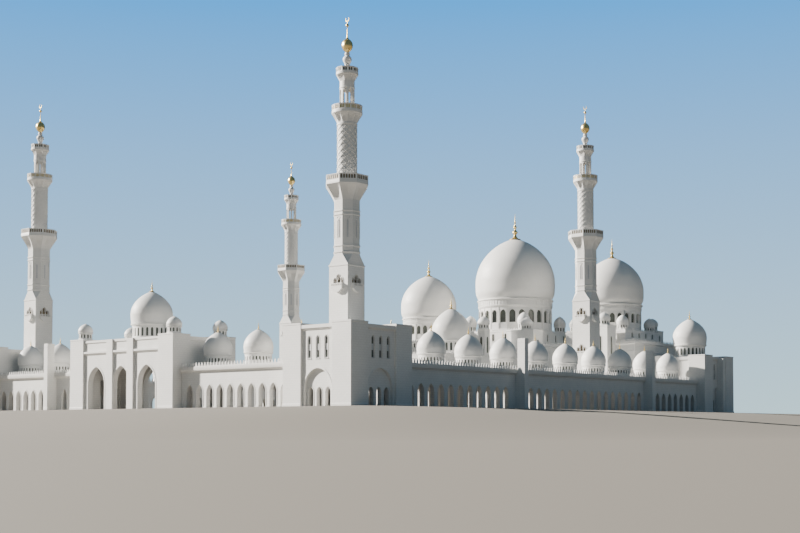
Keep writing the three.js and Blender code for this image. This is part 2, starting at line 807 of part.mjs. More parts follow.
const rightOuterWall = frontWall(-ARCADE_HALF, archOutline);
const leftOuterWall = join(frontWall(-ARCADE_HALF, archOutline, [FRONT_PYLON_X]), frontPylon());
const frontInnerWall = frontWall(ARCADE_HALF - ARCADE_WALL, plainArchOutline);
place(rightHalf, 'front_arcade_outer_wall_right', rightOuterWall, 0, FRONT_ROW_Y);
place(leftHalf, 'front_arcade_outer_wall_left', leftOuterWall, 0, FRONT_ROW_Y);
placePair('front_arcade_inner_wall', frontInnerWall, 0, FRONT_ROW_Y);
placePair('front_arcade_roof', frontRoof(), 0, FRONT_ROW_Y);

placePair('side_arcade_outer_wall', sideOuterWall(), ROW_X, 0);
placePair('side_arcade_inner_wall', sideInnerWall(), ROW_X, 0);
placePair('side_arcade_roof', sideRoof(), ROW_X, 0);

placePair('front_minaret_shaft', minaretShaft(PIER_TOP, [UPPER_BALCONY]), MINARET_X, 0);
placePair('front_minaret_tower', minaretTower(), MINARET_X, 0);
placePair('front_minaret_finial', minaretFinial(), MINARET_X, 0, GOLD);
placePair('rear_minaret_shaft', rearMinaretShaft(), MINARET_X, MINARET_REAR_Y);
placePair('rear_minaret_tower', minaretTower(), MINARET_X, MINARET_REAR_Y);
placePair('rear_minaret_finial', minaretFinial(), MINARET_X, MINARET_REAR_Y, GOLD);

placePair('portico_wall', porticoWall(), 0, MINARET_REAR_Y);
placePair('portico_roof', porticoRoof(), 0, MINARET_REAR_Y);
place(group, 'portal_block', portalBlock(), 0, PORTAL_Y);
place(group, 'portal_dome', portalDome(), 0, PORTAL_Y);
place(group, 'portal_finial', finial(PORTAL_DOME.top, 4.8), 0, PORTAL_Y, GOLD);

place(group, 'prayer_hall_walls', hallWalls(), 0, HALL_ROW_Y);
place(group, 'prayer_hall_roof', hallRoof(), 0, HALL_ROW_Y);
placePair('hall_link', hallLink(), 0, HALL_ROW_Y);
place(group, 'main_drum', mainDrum(), 0, HALL_ROW_Y);
place(group, 'main_dome', bigDome(MAIN_DOME, 1.2), 0, HALL_ROW_Y);
place(group, 'main_finial', finial(MAIN_DOME.top, 10.8), 0, HALL_ROW_Y, GOLD);
placePair('side_drum', drum(SIDE_DOME, SIDE_PODIUM, SIDE_WINDOWS, 35.4, 39.1), SIDE_DOME_X, HALL_ROW_Y);
placePair('side_dome', bigDome(SIDE_DOME, 1), SIDE_DOME_X, HALL_ROW_Y);
placePair('side_finial', finial(SIDE_DOME.top, 7.6), SIDE_DOME_X, HALL_ROW_Y, GOLD);

export default group;
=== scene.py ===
import math

import bmesh
import bpy
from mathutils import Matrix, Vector
from mathutils.geometry import tessellate_polygon


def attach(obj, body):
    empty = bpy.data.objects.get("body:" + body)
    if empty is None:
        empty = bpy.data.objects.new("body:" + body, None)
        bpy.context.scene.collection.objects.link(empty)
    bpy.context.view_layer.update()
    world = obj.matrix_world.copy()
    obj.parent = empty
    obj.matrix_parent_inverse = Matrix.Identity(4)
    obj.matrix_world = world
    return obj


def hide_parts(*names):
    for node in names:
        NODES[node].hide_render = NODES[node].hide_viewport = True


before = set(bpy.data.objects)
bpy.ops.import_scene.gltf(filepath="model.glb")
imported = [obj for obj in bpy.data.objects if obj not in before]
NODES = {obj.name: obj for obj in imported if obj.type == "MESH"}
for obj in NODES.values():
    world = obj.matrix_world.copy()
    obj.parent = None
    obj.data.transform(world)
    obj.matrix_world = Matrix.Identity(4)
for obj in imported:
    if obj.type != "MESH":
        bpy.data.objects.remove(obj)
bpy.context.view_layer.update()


# Camera, floor and light, in metres of the model and degrees

IMAGE_WIDTH = 800
IMAGE_HEIGHT = 533
SENSOR_WIDTH = 36
CAMERA_PLACE = (29.656, -33.940, -0.501)
CAMERA_HEADING = 39.88
CAMERA_PITCH = 2.12
FOCAL_PIXELS = 1245.7
PRINCIPAL_X = 402.0
PRINCIPAL_Y = 381.1
VIEW_REACH = 500
TO_SUN = (-0.836, -0.355, 0.418)
SUN_ENERGY = 17
SUN_WIDTH = 2
SUN_COLOUR = (1.0, 0.95, 0.88)
FILL_COLOUR = (0.36, 0.62, 0.88)
FILL_STRENGTH = 0.24
SKY_LOW = (0.76, 1.04, 1.12)
SKY_HIGH = (0.04, 0.50, 1.30)
SKY_TOP_AT = 0.34

# The pale floor lies lower near the camera and rises in a gentle bank to the building
FLOOR_COLOUR = (0.20, 0.18, 0.15, 1)
FLOOR_LOW = -0.69
FLOOR_INNER = (10.3, 12.3)
FLOOR_EDGE = 0.02
FLOOR_BANK = 12
FLOOR_REACH = 260
BANK_STEPS = 24
CORNER_STEPS = 12


def new_object(name, data):
    made = bpy.data.objects.new(name, data)
    bpy.context.scene.collection.objects.link(made)
    return made


def make_camera():
    data = bpy.data.cameras.new("camera")
    data.sensor_width = SENSOR_WIDTH
    data.sensor_fit = "HORIZONTAL"
    data.lens = FOCAL_PIXELS / IMAGE_WIDTH * SENSOR_WIDTH
    data.shift_x = (IMAGE_WIDTH / 2 - PRINCIPAL_X) / IMAGE_WIDTH
    data.shift_y = (PRINCIPAL_Y - IMAGE_HEIGHT / 2) / IMAGE_WIDTH
    data.clip_end = VIEW_REACH
    camera = new_object("camera", data)
    camera.location = CAMERA_PLACE
    camera.rotation_euler = (math.radians(90 + CAMERA_PITCH), 0, math.radians(CAMERA_HEADING))
    bpy.context.scene.camera = camera


def floor_ring(distance, height):
    """Rounded rectangle at one distance outside the level middle of the floor."""
    ring = []
    for quarter, (sx, sy) in enumerate(((1, 1), (-1, 1), (-1, -1), (1, -1))):
        for step in range(CORNER_STEPS + 1):
            x, y, z = polar(distance, math.pi / 2 * (quarter + step / CORNER_STEPS), height)
            ring.append((sx * FLOOR_INNER[0] + x, sy * FLOOR_INNER[1] + y, z))
    return ring


def make_floor():
    """Rings from the far edge up the bank, and the level middle inside them."""
    rings = [floor_ring(FLOOR_REACH, FLOOR_LOW)]
    for step in range(BANK_STEPS, -1, -1):
        t = step / BANK_STEPS
        rings.append(floor_ring(FLOOR_EDGE + FLOOR_BANK * t, FLOOR_LOW * t * t * (3 - 2 * t)))
    size = len(rings[0])
    points = [point for ring in rings for point in ring]
    middle = tuple(range(len(points) - size, len(points)))
    mesh = bpy.data.meshes.new("floor")
    mesh.from_pydata(points, [], quads(len(rings), size) + [middle])
    mesh.materials.append(floor_stone())
    mesh.polygons.foreach_set("use_smooth", [True] * len(mesh.polygons))
    new_object("floor", mesh)


def make_light():
    sun = bpy.data.lights.new("key", "SUN")
    sun.energy = SUN_ENERGY
    sun.angle = math.radians(SUN_WIDTH)
    sun.color = SUN_COLOUR
    new_object("key", sun).rotation_euler = Vector(TO_SUN).to_track_quat("Z", "Y").to_euler()


def make_sky():
    """Even fill light, with a sky behind the building that grows paler towards the horizon."""
    world = bpy.data.worlds.new("sky")
    world.use_nodes = True
    tree = world.node_tree
    fill = tree.nodes["Background"]
    feed(tree, fill, {"Color": (*FILL_COLOUR, 1), "Strength": FILL_STRENGTH})
    height = axes(tree, node(tree, "ShaderNodeTexCoord", {}, "Generated"))["Z"]
    tone = ramp(tree, height, (0, SKY_LOW), (SKY_TOP_AT, SKY_HIGH))
    backdrop = node(tree, "ShaderNodeBackground", {"Color": tone})
    seen = node(tree, "ShaderNodeLightPath", {}, "Is Camera Ray")
    both = node(tree, "ShaderNodeMixShader", {0: seen, 1: fill.outputs[0], 2: backdrop})
    feed(tree, tree.nodes["World Output"], {"Surface": both})
    bpy.context.scene.world = world


# Materials. The cladding panels and their joints are in metres of the model.

JOINT_WIDTH = 0.0022
PANEL_WIDTH = 0.12
PANEL_HEIGHT = 0.062
FACES_AN_AXIS = 0.9995


def feed(tree, made, inputs):
    """Inputs of a shader node, each a value or the output of another node."""
    for key, value in inputs.items():
        if isinstance(value, bpy.types.NodeSocket):
            tree.links.new(value, made.inputs[key])
        else:
            made.inputs[key].default_value = value


def node(tree, kind, inputs, output=0, **settings):
    """Output of a new shader node."""
    made = tree.nodes.new(kind)
    for key, value in settings.items():
        setattr(made, key, value)
    feed(tree, made, inputs)
    return made.outputs[output]


def axes(tree, vector):
    split = tree.nodes.new("ShaderNodeSeparateXYZ")
    tree.links.new(vector, split.inputs[0])
    return split.outputs


def position(tree):
    return node(tree, "ShaderNodeNewGeometry", {}, "Position")


def ramp(tree, source, *stops):
    """Colour for a factor, from stops given as (position, colour)."""
    made = tree.nodes.new("ShaderNodeValToRGB")
    elements = made.color_ramp.elements
    while len(elements) < len(stops):
        elements.new(0.5)
    for element, (place, colour) in zip(elements, stops):
        element.position = place
        element.color = (*colour, 1)
    tree.links.new(source, made.inputs["Fac"])
    return made.outputs["Color"]


def noise(tree, scale, detail, distortion=0):
    inputs = {"Vector": position(tree), "Scale": scale, "Detail": detail, "Distortion": distortion}
    return node(tree, "ShaderNodeTexNoise", inputs, "Fac")


def mottled(tree, scale, detail, low, high):
    """Cloudy change from one colour to another."""
    return ramp(tree, noise(tree, scale, detail), (0.3, low), (0.7, high))


def joints(tree, shade):
    """Joints between the cladding panels of upright walls, as a factor for the colour."""
    place = axes(tree, position(tree))
    along = node(tree, "ShaderNodeMath", {0: place["X"], 1: place["Y"]}, operation="ADD")
    inputs = {
        "Vector": node(tree, "ShaderNodeCombineXYZ", {"X": along, "Y": place["Z"]}),
        "Color1": (1, 1, 1, 1),
        "Color2": (0.975, 0.975, 0.97, 1),
        "Mortar": (shade, shade, shade, 1),
        "Scale": 1,
        "Mortar Size": JOINT_WIDTH,
        "Brick Width": PANEL_WIDTH,
        "Row Height": PANEL_HEIGHT,
    }
    return node(tree, "ShaderNodeTexBrick", inputs, "Color", offset=0.5)


def upright_walls(tree):
    """One on walls that face along X or Y, zero on round and level surfaces."""
    normal = axes(tree, node(tree, "ShaderNodeNewGeometry", {}, "True Normal"))
    x, y = (node(tree, "ShaderNodeMath", {0: normal[axis]}, operation="ABSOLUTE") for axis in "XY")
    larger = node(tree, "ShaderNodeMath", {0: x, 1: y}, operation="MAXIMUM")
    return node(tree, "ShaderNodeMath", {0: larger, 1: FACES_AN_AXIS}, operation="GREATER_THAN")


def multiply(tree, factor, first, second):
    """Second colour multiplied into the first."""
    inputs = {"Factor": factor, "A": first, "B": second}
    return node(tree, "ShaderNodeMix", inputs, "Result", data_type="RGBA", blend_type="MULTIPLY")


def grey(tone):
    return (tone, tone, tone)


def new_material(name):
    material = bpy.data.materials.new(name)
    material.use_nodes = True
    tree = material.node_tree
    return material, tree, tree.nodes["Principled BSDF"]


def marble(name, light, dark, joint):
    """Honed stone: soft cloudy tones, thin veins and the joints between the cladding panels."""
    material, tree, shader = new_material(name)
    cloud = ramp(tree, noise(tree, 1.6, 5), (0.35, dark), (0.65, light))
    veins = ((0.46, grey(1)), (0.5, (0.93, 0.93, 0.94)), (0.54, grey(1)))
    veined = multiply(tree, 0.6, cloud, ramp(tree, noise(tree, 7, 8, 1.6), *veins))
    clad = multiply(tree, upright_walls(tree), veined, joints(tree, joint))
    rough = mottled(tree, 12, 3, grey(0.42), grey(0.58))
    waves = {"Strength": 0.25, "Distance": 0.004, "Height": noise(tree, 22, 6)}
    bump = node(tree, "ShaderNodeBump", waves, "Normal")
    looks = {"Base Color": clad, "Roughness": rough, "Specular IOR Level": 0.35, "Normal": bump}
    feed(tree, shader, looks)
    return material


def metal(name, colour, shade, low, high):
    material, tree, shader = new_material(name)
    tone = mottled(tree, 9, 4, shade, colour)
    rough = mottled(tree, 30, 3, grey(low), grey(high))
    feed(tree, shader, {"Base Color": tone, "Roughness": rough, "Metallic": 1})
    return material


# Dark glass for the window panes; the same glass sheets also stand in the niches of the hall towers and
# portal towers as painted shade
def window_glass_and_painted_shade():
    material, tree, shader = new_material("window_glass_and_painted_shade")
    tone = mottled(tree, 3, 3, (0.075, 0.08, 0.07), (0.13, 0.14, 0.12))
    feed(tree, shader, {"Base Color": tone, "Roughness": 0.18})
    return material


def floor_stone():
    material, tree, shader = new_material("pale_floor")
    feed(tree, shader, {"Base Color": FLOOR_COLOUR, "Roughness": 0.9})
    return material


WHITE = marble("white_marble", (0.79, 0.78, 0.75), (0.74, 0.73, 0.705), 0.82)
GILT = metal("gilding", (0.93, 0.73, 0.33), (0.80, 0.57, 0.20), 0.28, 0.45)
# Dark metal for the balcony grilles, also used as painted shade for the core inside each minaret shaft
BRONZE_AND_CORE_SHADE = metal("bronze_and_painted_shade", (0.30, 0.24, 0.16), (0.16, 0.13, 0.10), 0.35, 0.5)
# Darker copy of the white marble: painted shade, put on the back plates of the window recesses and on the
# niches of the octagonal stage
SHADE_MARBLE = marble("painted_shade_marble", (0.60, 0.61, 0.62), (0.52, 0.53, 0.55), 0.85)
FINISHES = [WHITE, window_glass_and_painted_shade(), SHADE_MARBLE, GILT, BRONZE_AND_CORE_SHADE]
STONE, PANE_AND_NICHE_SHADE, SHADED, GOLD, DARK = range(len(FINISHES))


# Shape building. From here on all lengths are metres of the real building.

class Shape:
    """Points, faces and the finish of each face."""

    def __init__(self):
        self.points = []
        self.faces = []
        self.kinds = []

    def extend(self, points, faces, kinds):
        first = len(self.points)
        self.points.extend(points)
        self.faces.extend(tuple(first + k for k in face) for face in faces)
        self.kinds.extend(kinds)
        return self

    def add(self, points, faces, kind=STONE):
        return self.extend(points, faces, [kind] * len(faces))

    def join(self, *others):
        for other in others:
            self.extend(other.points, other.faces, other.kinds)
        return self

    def placed(self, x=0, y=0, turn=0, mirrored=False):
        """A copy, mirrored left to right, then turned about the vertical, then moved."""
        c = math.cos(math.radians(turn))
        s = math.sin(math.radians(turn))
        side = -1 if mirrored else 1
        points = [(c * side * a - s * b + x, s * side * a + c * b + y, z) for a, b, z in self.points]
        return Shape().extend(points, self.faces, self.kinds)


def joined(*shapes):
    return Shape().join(*shapes)


def around(shape, count, turn=0):
    return joined(*(shape.placed(turn=turn + 360 * k / count) for k in range(count)))


def four_sides(along, across):
    """One wall for the front and rear and one for the two sides, each made as a front."""
    return joined(along, along.placed(turn=180), across.placed(turn=90), across.placed(turn=270))


def at_corners(shape, x, y):
    return joined(*(shape.placed(sx * x, sy * y) for sx in (-1, 1) for sy in (-1, 1)))


def polar(radius, angle, z):
    return (radius * math.cos(angle), radius * math.sin(angle), z)


def mirror(outline):
    return [(-x, z) for x, z in reversed(outline)]


def rectangle(x0, x1, z0, z1):
    return [(x0, z0), (x0, z1), (x1, z1), (x1, z0)]


def quads(rows, size, closed=True):
    """Faces between rows of points. A closed row joins its last point to its first."""
    faces = []
    for row in range(rows - 1):
        for k in range(size if closed else size - 1):
            a = size * row + k
            b = size * row + (k + 1) % size
            faces.append((a, b, b + size, a + size))
    return faces


def box(x0, x1, y0, y1, z0, z1, kind=STONE):
    points = [(x, y, z) for z in (z0, z1) for y in (y0, y1) for x in (x0, x1)]
    faces = [(0, 2, 3, 1), (4, 5, 7, 6), (0, 1, 5, 4), (2, 6, 7, 3), (0, 4, 6, 2), (1, 3, 7, 5)]
    return Shape().add(points, faces, kind)


def centred_box(half_x, half_y, z0, z1, kind=STONE):
    return box(-half_x, half_x, -half_y, half_y, z0, z1, kind)


def lathe(profile, sides, kind=STONE):
    """Surface of revolution. The points of a level on the axis are merged by weld()."""
    angles = [2 * math.pi * (k + 0.5) / sides for k in range(sides)]
    points = [polar(radius, angle, z) for radius, z in profile for angle in angles]
    return Shape().add(points, quads(len(profile), sides), kind)


def smooth(points, steps):
    """Soft curve through profile points."""
    curve = []
    last = len(points) - 1
    for k in range(last):
        near = [points[min(max(j, 0), last)] for j in (k - 1, k, k + 1, k + 2)]
        for step in range(steps):
            t = step / steps
            weights = (-t + 2 * t * t - t ** 3, 2 - 5 * t * t + 3 * t ** 3, t + 4 * t * t - 3 * t ** 3,
                       t ** 3 - t * t)
            curve.append(tuple(sum(w * p[axis] for w, p in zip(weights, near)) / 2 for axis in (0, 1)))
    return curve + points[last:]


def loop(profile, half_x, half_y):
    """Moulding round a rectangle. The profile gives (distance outwards, height)."""
    points = []
    for out, z in profile + profile[:1]:
        a = half_x + out
        b = half_y + out
        points += [(-a, -b, z), (a, -b, z), (a, b, z), (-a, b, z)]
    return Shape().add(points, quads(len(profile) + 1, 4))


def run(profile, x0, x1):
    """Straight moulding along X. The profile gives (y, height)."""
    count = len(profile)
    points = [(x, y, z) for x in (x0, x1) for y, z in profile]
    ends = [tuple(range(count)), tuple(range(count, 2 * count))]
    return Shape().add(points, quads(2, count) + ends)


def arch(centre, form):
    """Pointed arch from its left foot over the apex to its right foot, as (x, height).

    The form is (width, foot, spring, apex, steps in each half). With the foot at the apex, only the
    curve above the spring is made.
    """
    width, foot, spring, apex, steps = form
    half = width / 2
    rise = apex - spring
    offset = (rise * rise - half * half) / (2 * half)
    radius = half + offset
    end = math.atan2(rise, -offset)
    left = []
    for k in range(steps + 1):
        angle = math.pi + (end - math.pi) * k / steps
        left.append((offset + radius * math.cos(angle), spring + radius * math.sin(angle)))
    curve = left + mirror(left[:-1])
    if foot < spring:
        curve = [(-half, foot)] + curve + [(half, foot)]
    return [(centre + x, z) for x, z in curve]


def panel(outline, holes, y0, y1, kind=STONE):
    """Flat wall between two depths, with holes through it."""
    loops = [outline, *holes]
    flat = [point for ring in loops for point in ring]
    triangles = tessellate_polygon([[Vector((x, z, 0)) for x, z in ring] for ring in loops])
    count = len(flat)
    points = [(x, y, z) for y in (y0, y1) for x, z in flat]
    faces = [tuple(depth + k for k in t) for depth in (0, count) for t in triangles]
    first = 0
    for ring in loops:
        for k in range(len(ring)):
            a = first + k
            b = first + (k + 1) % len(ring)
            faces.append((a, b, count + b, count + a))
        first += len(ring)
    return Shape().add(points, faces, kind)


def sheet(outline, y, kind=PANE_AND_NICHE_SHADE):
    return Shape().add([(x, y, z) for x, z in outline], [tuple(range(len(outline)))], kind)


def band(inner, outer, y, proud):
    """Moulding between two outlines of the same length, standing proud of the wall face at y."""
    rows = ((inner, y), (inner, y - proud), (outer, y - proud), (outer, y))
    points = [(x, depth, z) for outline, depth in rows for x, z in outline]
    count = len(inner)
    ends = [tuple(k + row * count for row in range(4)) for k in (0, count - 1)]
    return Shape().add(points, quads(4, count, closed=False) + ends)


def arch_band(centre, form, y, grow, proud):
    """Moulding round an arch."""
    width, foot, spring, apex, steps = form
    wider = (width + 2 * grow, foot, spring, apex + 1.4 * grow, steps)
    return band(arch(centre, form), arch(centre, wider), y, proud)


def arched_wall(x0, x1, y0, y1, top, arches, edge=None, holes=()):
    """Wall with arches given as (x, form). An edge (width, depth) is a moulding round each of them."""
    feet = [point for x, form in arches for point in arch(x, form)]
    wall = panel([(x0, 0)] + feet + [(x1, 0), (x1, top), (x0, top)], holes, y0, y1)
    if edge:
        wall.join(*(arch_band(x, form, y0, *edge) for x, form in arches))
    return wall


def round_wall(radius, deep, low, high, count, window, kind=PANE_AND_NICHE_SHADE):
    """Round wall with a ring of arched windows (width, foot, head). They open inwards if kind is None."""
    width, foot, head = window
    half = width / 2 / radius
    step = math.pi / count
    curve = [(x / radius, z) for x, z in arch(0, (width, head, head - 0.62 * width, head, 4))]
    outline = [(-half, foot)] + curve + [(half, foot)]
    shape = Shape()

    def strip(columns, r):
        points = [polar(r, angle, z) for angle, z0, z1 in columns for z in (z0, z1)]
        shape.add(points, quads(len(columns), 2, closed=False))

    for r in (radius, radius - deep) if kind is None else (radius,):
        for a, b in ((-step, -half), (half, step)):
            strip([(angle, low, high) for angle in (a, (a + b) / 2, b)], r)
        strip([(-half, low, foot), (half, low, foot)], r)
        strip([(angle, z, high) for angle, z in curve], r)
    edge = [polar(radius, angle, z) for angle, z in outline]
    back = [polar(radius - deep, angle, z) for angle, z in outline]
    shape.add(edge + back, quads(2, len(outline)))
    if kind is not None:
        shape.add(back, [tuple(range(len(back)))], kind)
    return around(shape, count, 180 / count)


# Finished pieces in the part's frame, which is 1:10 and has its middle in the court

SCALE = 0.1
PLAN_MIDDLE_Y = 93
MERGE_DISTANCE = 1e-5
SHARP_ANGLE = 32


def weld(mesh):
    """Merges points that touch and turns the faces outwards."""
    soft = bmesh.new()
    soft.from_mesh(mesh)
    bmesh.ops.remove_doubles(soft, verts=soft.verts, dist=MERGE_DISTANCE)
    bmesh.ops.recalc_face_normals(soft, faces=soft.faces)
    soft.to_mesh(mesh)
    soft.free()


def dress(node_name, shape, x, y):
    """Finished piece that stands for one node of the frame. Pieces on the left are mirrored."""
    name = "dressed_" + node_name
    side = -SCALE if node_name.endswith("_left") else SCALE
    mesh = bpy.data.meshes.new(name)
    points = [(side * (a + x), SCALE * (b + y - PLAN_MIDDLE_Y), SCALE * z) for a, b, z in shape.points]
    mesh.from_pydata(points, [], shape.faces)
    used = sorted(set(shape.kinds))
    for kind in used:
        mesh.materials.append(FINISHES[kind])
    mesh.polygons.foreach_set("material_index", [used.index(kind) for kind in shape.kinds])
    weld(mesh)
    mesh.polygons.foreach_set("use_smooth", [True] * len(mesh.polygons))
    mesh.set_sharp_from_angle(angle=math.radians(SHARP_ANGLE))
    made = new_object(name, mesh)
    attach(made, "root")
    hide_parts(node_name)


def dress_pair(name, shape, x, y):
    for side in ("_right", "_left"):
        dress(name + side, shape, x, y)


# Plan and heights of the building, as in the part's source

MINARET_X = 71.4
MINARET_REAR_Y = 121.8
MINARET_HALF = 3.38
ROW_X = 79.5
FRONT_ROW_Y = -8.5
HALL_ROW_Y = 182.4
SIDE_BAY = 17.35
FRONT_BAY = 16.64
FRONT_BAY_START = 29.57
BLOCK_HALF = 11.85
BLOCK_WALL = 1.8
BLOCK_CEILING = 19.6
BLOCK_ROOF = 20.4
PIER_WIDTH = 6.4
PIER_TOP = 21.5
RECESS_TOP = 20.9
RECESS_DEPTH = 0.6
BLIND_ARCH_DEPTH = 0.7
ENTRANCE_HALF = 24
ARCADE_HALF = 8.5
ARCADE_WALL = 1.2
WALL_TOP = 11
ROOF_TOP = 11.8
CORNICE_REACH = 0.8
PYLON_WIDTH = 1.9
PYLON_TOP = 21
PYLON_CLEARANCE = 2.4
SIDE_PYLONS_Y = (56, 132.4)
FRONT_PYLON_X = 36.85
SIDE_DOME_X = 46.3
PORTAL_Y = 138.5
PORTAL_HALF = 10.8
PORTAL_WALL = 1.6
PORTAL_TOP = 22.6
HALL_HALF_X = 64.7
HALL_FRONT_Y = 166.9
HALL_REAR_Y = 206.35
HALL_WALL = 2
HALL_WALL_TOP = 26.1
HALL_ROOF_TOP = 27.3
HALL_CORNICE = 0.5
HALL_TOWER_TOP = 33.5
INNER_TOWER = (18.4, 5.3)
OUTER_TOWER = (53.6, 3.2)
REAR_TOWER_SETBACK = 2


# Rows of pointed merlons and spires

MERLON_PITCH = 1.2
MERLON_THICK = 0.16

# Left edge of a merlon, as shares of its width and height
MERLON = [(-0.5, 0.12), (-0.5, 0.5), (-0.32, 0.64), (-0.32, 0.76)]

# Bulbs and tip of a spire, as (radius, height) in shares of the spire's height
SPIRE_BASE = 0.22
SPIRE = [(0.97 * SPIRE_BASE, 0.022), (0.6 * SPIRE_BASE, 0.045), (0.085, 0.1), (0.05, 0.17), (0.05, 0.2),
         (0.095, 0.26), (0.1, 0.3), (0.045, 0.37), (0.035, 0.42), (0.065, 0.47), (0.068, 0.5),
         (0.028, 0.56), (0.022, 0.63), (0.038, 0.67), (0.018, 0.72), (0.004, 1)]


def merlons(x0, x1, y, z, height=1.25):
    """Low parapet with pointed merlons along X."""
    half = MERLON_THICK / 2
    width = 0.5 * MERLON_PITCH
    count = round((x1 - x0) / MERLON_PITCH)
    step = (x1 - x0) / count
    outline = [(width * a, z + height * b) for a, b in MERLON + [(0, 1)] + mirror(MERLON)]
    one = panel(outline, [], -half, half)
    wall = box(x0, x1, y - half, y + half, z, z + 0.15 * height)
    return wall.join(*(one.placed(x0 + step * (k + 0.5), y) for k in range(count)))


def merlons_around(half_x, half_y, z, height):
    along = merlons(-half_x, half_x, -half_y, z, height)
    return four_sides(along, merlons(-half_y, half_y, -half_x, z, height))


def spire(foot, height, sides):
    """Base disc, bulbs and a long tip."""
    profile = [(0, 0), (SPIRE_BASE, 0), (SPIRE_BASE, 0.012)] + smooth(SPIRE, 3) + [(0, 1)]
    return lathe([(r * height, foot + z * height) for r, z in profile], sides, GOLD)


# Domes: foot and window levels of the drum, then ring, widest level and top of the shell

ARCADE_DOME = {"radius": 4.15, "foot": ROOF_TOP, "windows": (13.25, 14.5), "moulding": 0.45,
               "ring": 15.8, "wide": 17.05, "top": 22, "sides": 40, "spire": 2.5}
BLOCK_DOME = {"radius": 6.3, "foot": BLOCK_ROOF, "windows": (22, 24.6), "moulding": 0.6,
              "ring": 26, "wide": 28.6, "top": 35.6, "sides": 64, "spire": 3.7}
PORTAL_DOME = {"radius": 7.7, "foot": PORTAL_TOP, "windows": (24.6, 27.7), "moulding": 0.7,
               "ring": 29.1, "wide": 32, "top": 41.2, "sides": 72, "spire": 4.8}
SIDE_DOME = {"radius": 12.2, "foot": 32, "windows": (35.4, 39.1),
             "ring": 42.5, "wide": 47.2, "top": 61.5, "sides": 96, "spire": 7.6}
MAIN_DOME = {"radius": 16.55, "foot": 34.1, "windows": (37.7, 43),
             "ring": 47.4, "wide": 53.6, "top": 73.4, "sides": 96, "spire": 10.8}
DRUM_WINDOWS = 24

# Outline above the widest level: share of the radius and of the rise
POINTED = [(1, 0), (0.955, 0.25), (0.82, 0.49), (0.63, 0.69), (0.4, 0.85), (0.16, 0.97), (0, 1)]
ROUNDED = [(1, 0), (0.995, 0.152), (0.95, 0.323), (0.866, 0.49), (0.738, 0.646), (0.577, 0.783),
           (0.392, 0.894), (0.2, 0.972), (0.1, 0.995), (0, 1)]

# Round moulding from its foot upwards: shares of how far it stands out and of its height
RING_MOULDING = [(0, 0), (1, 0.12), (1, 0.38), (0.3, 0.46), (0.3, 0.6), (0.75, 0.7), (0.75, 0.9)]


def crown(dome, outline):
    """Outline of the shell above its widest level."""
    rise = dome["top"] - dome["wide"]
    return [(a * dome["radius"], dome["wide"] + b * rise) for a, b in outline]


def small_dome(dome):
    """Windowed drum on a stepped foot, ring moulding and pointed shell."""
    r = dome["radius"]
    foot = dome["foot"]
    ring = dome["ring"]
    wide = dome["wide"]
    sides = dome["sides"]
    thick = dome["moulding"]
    low, high = dome["windows"]
    drum = 0.9 * r
    neck = 0.96 * r
    rim = ring - thick
    window = (math.pi * drum / DRUM_WINDOWS, low, high)
    base = lathe([(0, foot), (r, foot), (r, foot + 0.35), (drum, foot + 0.5), (drum, low - 0.3)], sides)
    wall = round_wall(drum, 0.25, low - 0.3, high + 0.3, DRUM_WINDOWS, window)
    collar = lathe([(drum, high + 0.3), (drum + 0.12, high + 0.36), (drum + 0.12, high + 0.5),
                    (drum, high + 0.56), (neck, rim)], sides)
    profile = [(neck + 0.3 * thick * out, rim + thick * up) for out, up in RING_MOULDING]
    profile += [(neck - 0.01, ring)]
    profile += smooth([(neck, ring), (0.98 * r, ring + 0.42 * (wide - ring)), (r, wide)], 4)[:-1]
    profile += smooth(crown(dome, POINTED), 4)
    return joined(base, wall, collar, lathe(profile, sides))


def dome_spire(dome, sides):
    return spire(dome["top"], dome["spire"], sides)


def dress_domes():
    dome = small_dome(BLOCK_DOME)
    dress_pair("rear_block_dome", dome, ROW_X, HALL_ROW_Y)
    dress("entrance_dome", dome, 0, FRONT_ROW_Y)
    dress("portal_dome", small_dome(PORTAL_DOME), 0, PORTAL_Y)
    tip = dome_spire(BLOCK_DOME, 20)
    dress_pair("rear_block_finial", tip, ROW_X, HALL_ROW_Y)
    dress("entrance_finial", tip, 0, FRONT_ROW_Y)
    dress("portal_finial", dome_spire(PORTAL_DOME, 20), 0, PORTAL_Y)
    dress("main_finial", dome_spire(MAIN_DOME, 24), 0, HALL_ROW_Y)
    dress_pair("side_finial", dome_spire(SIDE_DOME, 20), SIDE_DOME_X, HALL_ROW_Y)


# Arcades. Each wall is made along X with its outer face at y = 0.

ARCH_WIDTH = 2.7
ARCH_SPRING = 4.4
ARCADE_ARCH = (ARCH_WIDTH, 0, ARCH_SPRING, 6.8, 7)
ARCADE_EDGE = (0.22, 0.09)
ARCHES_IN_BAY = 4
CORNICE = [(0, 10.3), (0.2, 10.4), (0.25, 10.6), (0.75, 10.75), (CORNICE_REACH, 10.85),
           (CORNICE_REACH, ROOF_TOP), (-ARCADE_WALL, ROOF_TOP), (-ARCADE_WALL, WALL_TOP), (0, WALL_TOP)]
MERLON_INSET = 0.2
ROW_INSET = 0.25


def arches_between(start, end, bay_middle, bay, pylons=()):
    """Places of the arches that leave room at both ends and beside the pylons."""
    spacing = bay / ARCHES_IN_BAY
    first = bay_middle - 0.5 * spacing
    places = [first + k * spacing for k in range(int((end - first) / spacing) + 1)]
    inside = [x for x in places if start + 1.8 < x < end - 1.8]
    return [x for x in inside if all(abs(x - pylon) > PYLON_CLEARANCE for pylon in pylons)]


